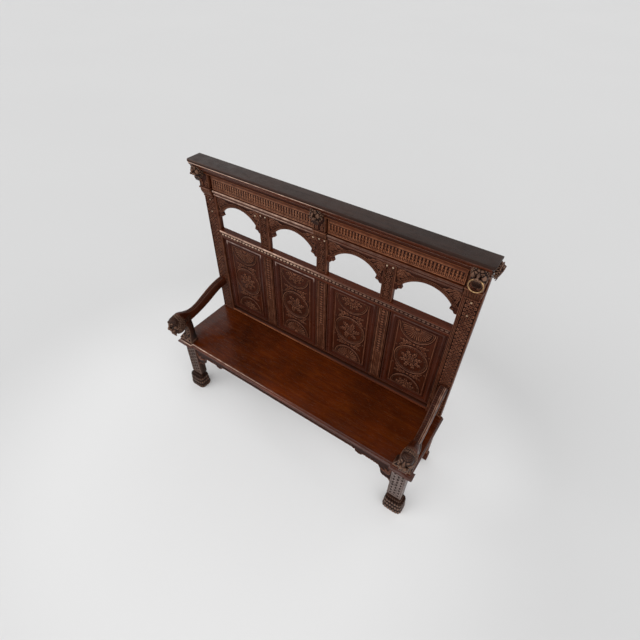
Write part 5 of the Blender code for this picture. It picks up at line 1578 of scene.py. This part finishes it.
loop = np.concatenate([idx[0, :-1], idx[:-1, -1], idx[-1, :0:-1], idx[:0:-1, 0]])
V[nf:, 1] = F - np.interp(V[loop, 2], SUP[:, 0], SUP[:, 4])
# painted shade on the sides and back of the supports; their carved face is a little darker too
wear_and_light = np.full(len(V), -0.7)
wear_and_light[:nf] = level(H, -0.0026, 0.0044, 0.6).ravel() - 0.1
for side, s in SIDES:
    v, q, n = (V, Q, N) if s > 0 else flip(V, Q, N)
    put("carved_support_" + side, v, q, "limb", "arm_support_" + side, n, wear_and_light)

# ----------------------------------------------------------------------- paws


def plan_ring(cx, cy, hx, hy, e, n):
    """Rounded rectangle with its points evenly spaced, and the outward direction at each."""
    t = np.linspace(0, 2 * PI, 4001)
    x = hx * np.sign(np.cos(t)) * np.abs(np.cos(t)) ** e
    y = hy * np.sign(np.sin(t)) * np.abs(np.sin(t)) ** e
    L = np.concatenate([[0], np.cumsum(np.hypot(np.diff(x), np.diff(y)))])
    s = np.arange(n) / n * L[-1]
    P = np.column_stack([np.interp(s, L, x), np.interp(s, L, y)])
    d = np.roll(P, -1, 0) - np.roll(P, 1, 0)
    N = np.column_stack([d[:, 1], -d[:, 0]]) / np.linalg.norm(d, axis=1)[:, None]
    return P + np.array([cx, cy]), N


def paw_data(cx):
    """Lion's paw carved as a block: three rings of lobes one over another and a hollow top."""
    n = 312
    base, nrm = plan_ring(cx, F - 0.3845, 0.0625, 0.0475, 0.52, n)
    top, tn = plan_ring(0.8010, F - 0.3735, 0.0405, 0.0240, 0.35, n)
    s = np.arange(n) / n
    rows, wear_and_light = [], []
    tiers = ((0.0000, 0.0370, 0.0000, 22, 0.0), (0.0370, 0.0700, 0.0024, 22, 0.5), (0.0700, 0.1000, 0.0052, 22, 0.0))

    def lobes(N, ph):
        f = (s * N + ph) % 1.0
        return np.sqrt(np.clip(1 - (2 * f - 1) ** 2, 0, 1)), np.abs(f - 0.5) * 2

    for z0, z1, back, N, ph in tiers:
        lo, f = lobes(N, ph)
        for v in np.linspace(0.0, 1.0, 17):
            bulge = math.sqrt(max(1 - (2 * (v - 0.42)) ** 2 * 0.72, 0.0)) if z0 > 0 else math.sqrt(max(1 - (1.16 * max(v - 0.22, 0)) ** 2, 0))
            z = z0 + (z1 - z0) * v
            off = -back - 0.0070 + 0.0070 * (0.30 + 0.70 * lo) * bulge
            hole = np.exp(-(((f - 1.0) / 0.30) ** 2)) * math.exp(-(((v - 0.86) / 0.16) ** 2))
            off = off - 0.0050 * hole
            rows.append(np.column_stack([base + off[:, None] * nrm, np.full(n, z)]))
            # painted shade where a tier's face sinks between lobes, abrasion with painted highlight where it stands out
            wear_and_light.append(np.clip((off + back + 0.0017) * 380, -1, 0.85))
    lo, f = lobes(22, 0.0)
    edge = base - 0.0095 * nrm
    for t in np.linspace(0.0, 1.0, 26):
        w = t ** 0.85
        P = edge * (1 - w) + top * w
        z = 0.1008 - 0.0030 * math.sin(PI * min(t / 0.5, 1.0)) + 0.0020 * step(0.5, 1.0, t)
        z = z - 0.0030 * (1 - lo) * math.sin(PI * min(t / 0.9, 1.0))
        rows.append(np.column_stack([P, np.broadcast_to(z, n)]))
        # plateau: painted highlight along its rim, painted shade between the lobes
        wear_and_light.append(np.full(n, 0.80 if t < 0.10 else 0.40) - 0.9 * (1 - lo) * (0.05 < t < 0.9))
    for z in (0.1080, 0.1160, 0.1240):
        rows.append(np.column_stack([top, np.full(n, z)]))
        wear_and_light.append(np.full(n, -0.2))
    V = np.concatenate(rows)
    m = len(rows)
    i, j = np.meshgrid(np.arange(m - 1), np.arange(n), indexing="ij")
    a, b = (i * n + j).ravel(), (i * n + (j + 1) % n).ravel()
    Q = np.stack([a, b, b + n, a + n], 1)
    V[:, 2] = np.maximum(V[:, 2], 0.0)
    return V, Q, [list(range(n))[::-1], list((m - 1) * n + np.arange(n))], np.concatenate(wear_and_light)


for (side, s), cx in zip(SIDES, (0.8010, 0.8130)):
    PV, PQ, PN, PC = paw_data(cx)
    V, Q, N = (PV, PQ, PN) if s > 0 else flip(PV, PQ, PN)
    # the left paw is painted darker than the right: painted shade
    put("carved_paw_" + side, V, Q, "limb", "paw_foot_" + side, N, PC - (0.12 if s > 0 else 0.35), reach=0.004, curv=0.5)

# ------------------------------------------------------- pieces kept from CAD
KEEP = {"top_rail": "frame_x", "mid_rail": "frame_x", "rear_foot_left": "frame_z", "rear_foot_right": "frame_z",
        "side_rail_left": "frame_y", "side_rail_right": "frame_y", "seat_bearer": "frame_y",
        "mask_ring": "brass", "ring_staple": "brass", "peg_left_upper": "peg", "peg_left_lower": "peg",
        "peg_right_upper": "peg", "peg_right_lower": "peg"}
for node, mat in KEEP.items():
    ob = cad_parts[node]
    if len(ob.material_slots) == 0:
        ob.data.materials.append(M[mat])
    for sl in ob.material_slots:
        sl.material = M[mat]

# ------------------------------------------------------- floor, light, camera
fm = bpy.data.materials.new("floor_paper")
ft = Tree(fm)
ftc = ft.node("ShaderNodeTexCoord")
fn = ft.noise(ftc.outputs["Object"], 0.35, 2.0, 0.5)
fcol = ft.mix(fn, (0.700, 0.700, 0.702, 1), (0.722, 0.722, 0.722, 1))
# painted light on the floor: lighter near a spot in front of the bench's left half, darker farther off
fs = ft.node("ShaderNodeSeparateXYZ")
ft.link(ftc.outputs["Object"], fs.inputs[0])
fu = ft.math("POWER", ft.math("ADD", fs.outputs["X"], 0.2), 2.0)
fv = ft.math("POWER", ft.math("ADD", fs.outputs["Y"], 0.5), 2.0)
fr = ft.math("SQRT", ft.math("ADD", fu, fv))
fcol = ft.mix(1.0, fcol, ft.remap(fr, 0.9, 2.1, 1.05, 0.87, True), "MULTIPLY")
# painted light under and around the bench, lifting the floor there against the bench's shadow
gu = ft.math("POWER", ft.math("DIVIDE", ft.math("SUBTRACT", fs.outputs["X"], 0.5), 1.2), 2.0)
gv = ft.math("POWER", ft.math("DIVIDE", ft.math("SUBTRACT", fs.outputs["Y"], 0.5), 0.9), 2.0)
gr = ft.math("SQRT", ft.math("ADD", gu, gv))
fcol = ft.mix(1.0, fcol, ft.remap(gr, 0.40, 0.95, 1.22, 1.0, True), "MULTIPLY")
ft.link(fcol, ft.bsdf.inputs["Base Color"])
socket(ft.bsdf, "Roughness", 0.75)
socket(ft.bsdf, "Specular IOR Level", 0.15)
me = bpy.data.meshes.new("floor")
R = 60.0
me.from_pydata([(-R, -R, 0), (R, -R, 0), (R, R, 0), (-R, R, 0)], [], [(0, 1, 2, 3)])
me.materials.append(fm)
floor = bpy.data.objects.new("floor", me)
scene.collection.objects.link(floor)

w = bpy.data.worlds.new("studio")
scene.world = w
w.use_nodes = True
wt = w.node_tree
bg = wt.nodes["Background"]
wc = wt.nodes.new("ShaderNodeTexCoord")
dot = wt.nodes.new("ShaderNodeVectorMath")
dot.operation = "DOT_PRODUCT"
dot.inputs[1].default_value = (0.0, 0.0, 1.0)
wt.links.new(wc.outputs["Generated"], dot.inputs[0])
wr = wt.nodes.new("ShaderNodeMapRange")
wr.interpolation_type = "SMOOTHSTEP"
for k, v in (("From Min", 0.655), ("From Max", 0.710), ("To Min", 0.98), ("To Max", 0.24)):
    wr.inputs[k].default_value = v
wt.links.new(dot.outputs["Value"], wr.inputs["Value"])
wt.links.new(wr.outputs["Result"], bg.inputs["Strength"])
bg.inputs["Color"].default_value = (1.0, 1.0, 1.0, 1)


def broad(name, towards, spread, power):
    """Light from far off in the direction `towards`, as wide as `spread` degrees."""
    l = bpy.data.lights.new(name, "SUN")
    l.angle = math.radians(spread)
    l.energy = power
    o = bpy.data.objects.new(name, l)
    o.rotation_euler = Vector(towards).to_track_quat("Z", "Y").to_euler()
    o.location = Vector(towards).normalized() * 4.0
    scene.collection.objects.link(o)
    return o


broad("softbox_left", (-0.57, -0.50, 0.68), 40.0, 0.72)
broad("softbox_front", (0.38, -0.55, 0.80), 100.0, 1.60)

cam = bpy.data.cameras.new("camera")
cam.sensor_width = 36.0
cam.lens = 23.98389
cam.clip_end = 200.0
co = bpy.data.objects.new("camera", cam)
co.location = (1.0402108, -1.562499 + F, 2.554980)
co.rotation_euler = (0.8119032943, -0.0157303524, 0.6024403628)
scene.collection.objects.link(co)
scene.camera = co
scene.view_settings.view_transform = "Standard"
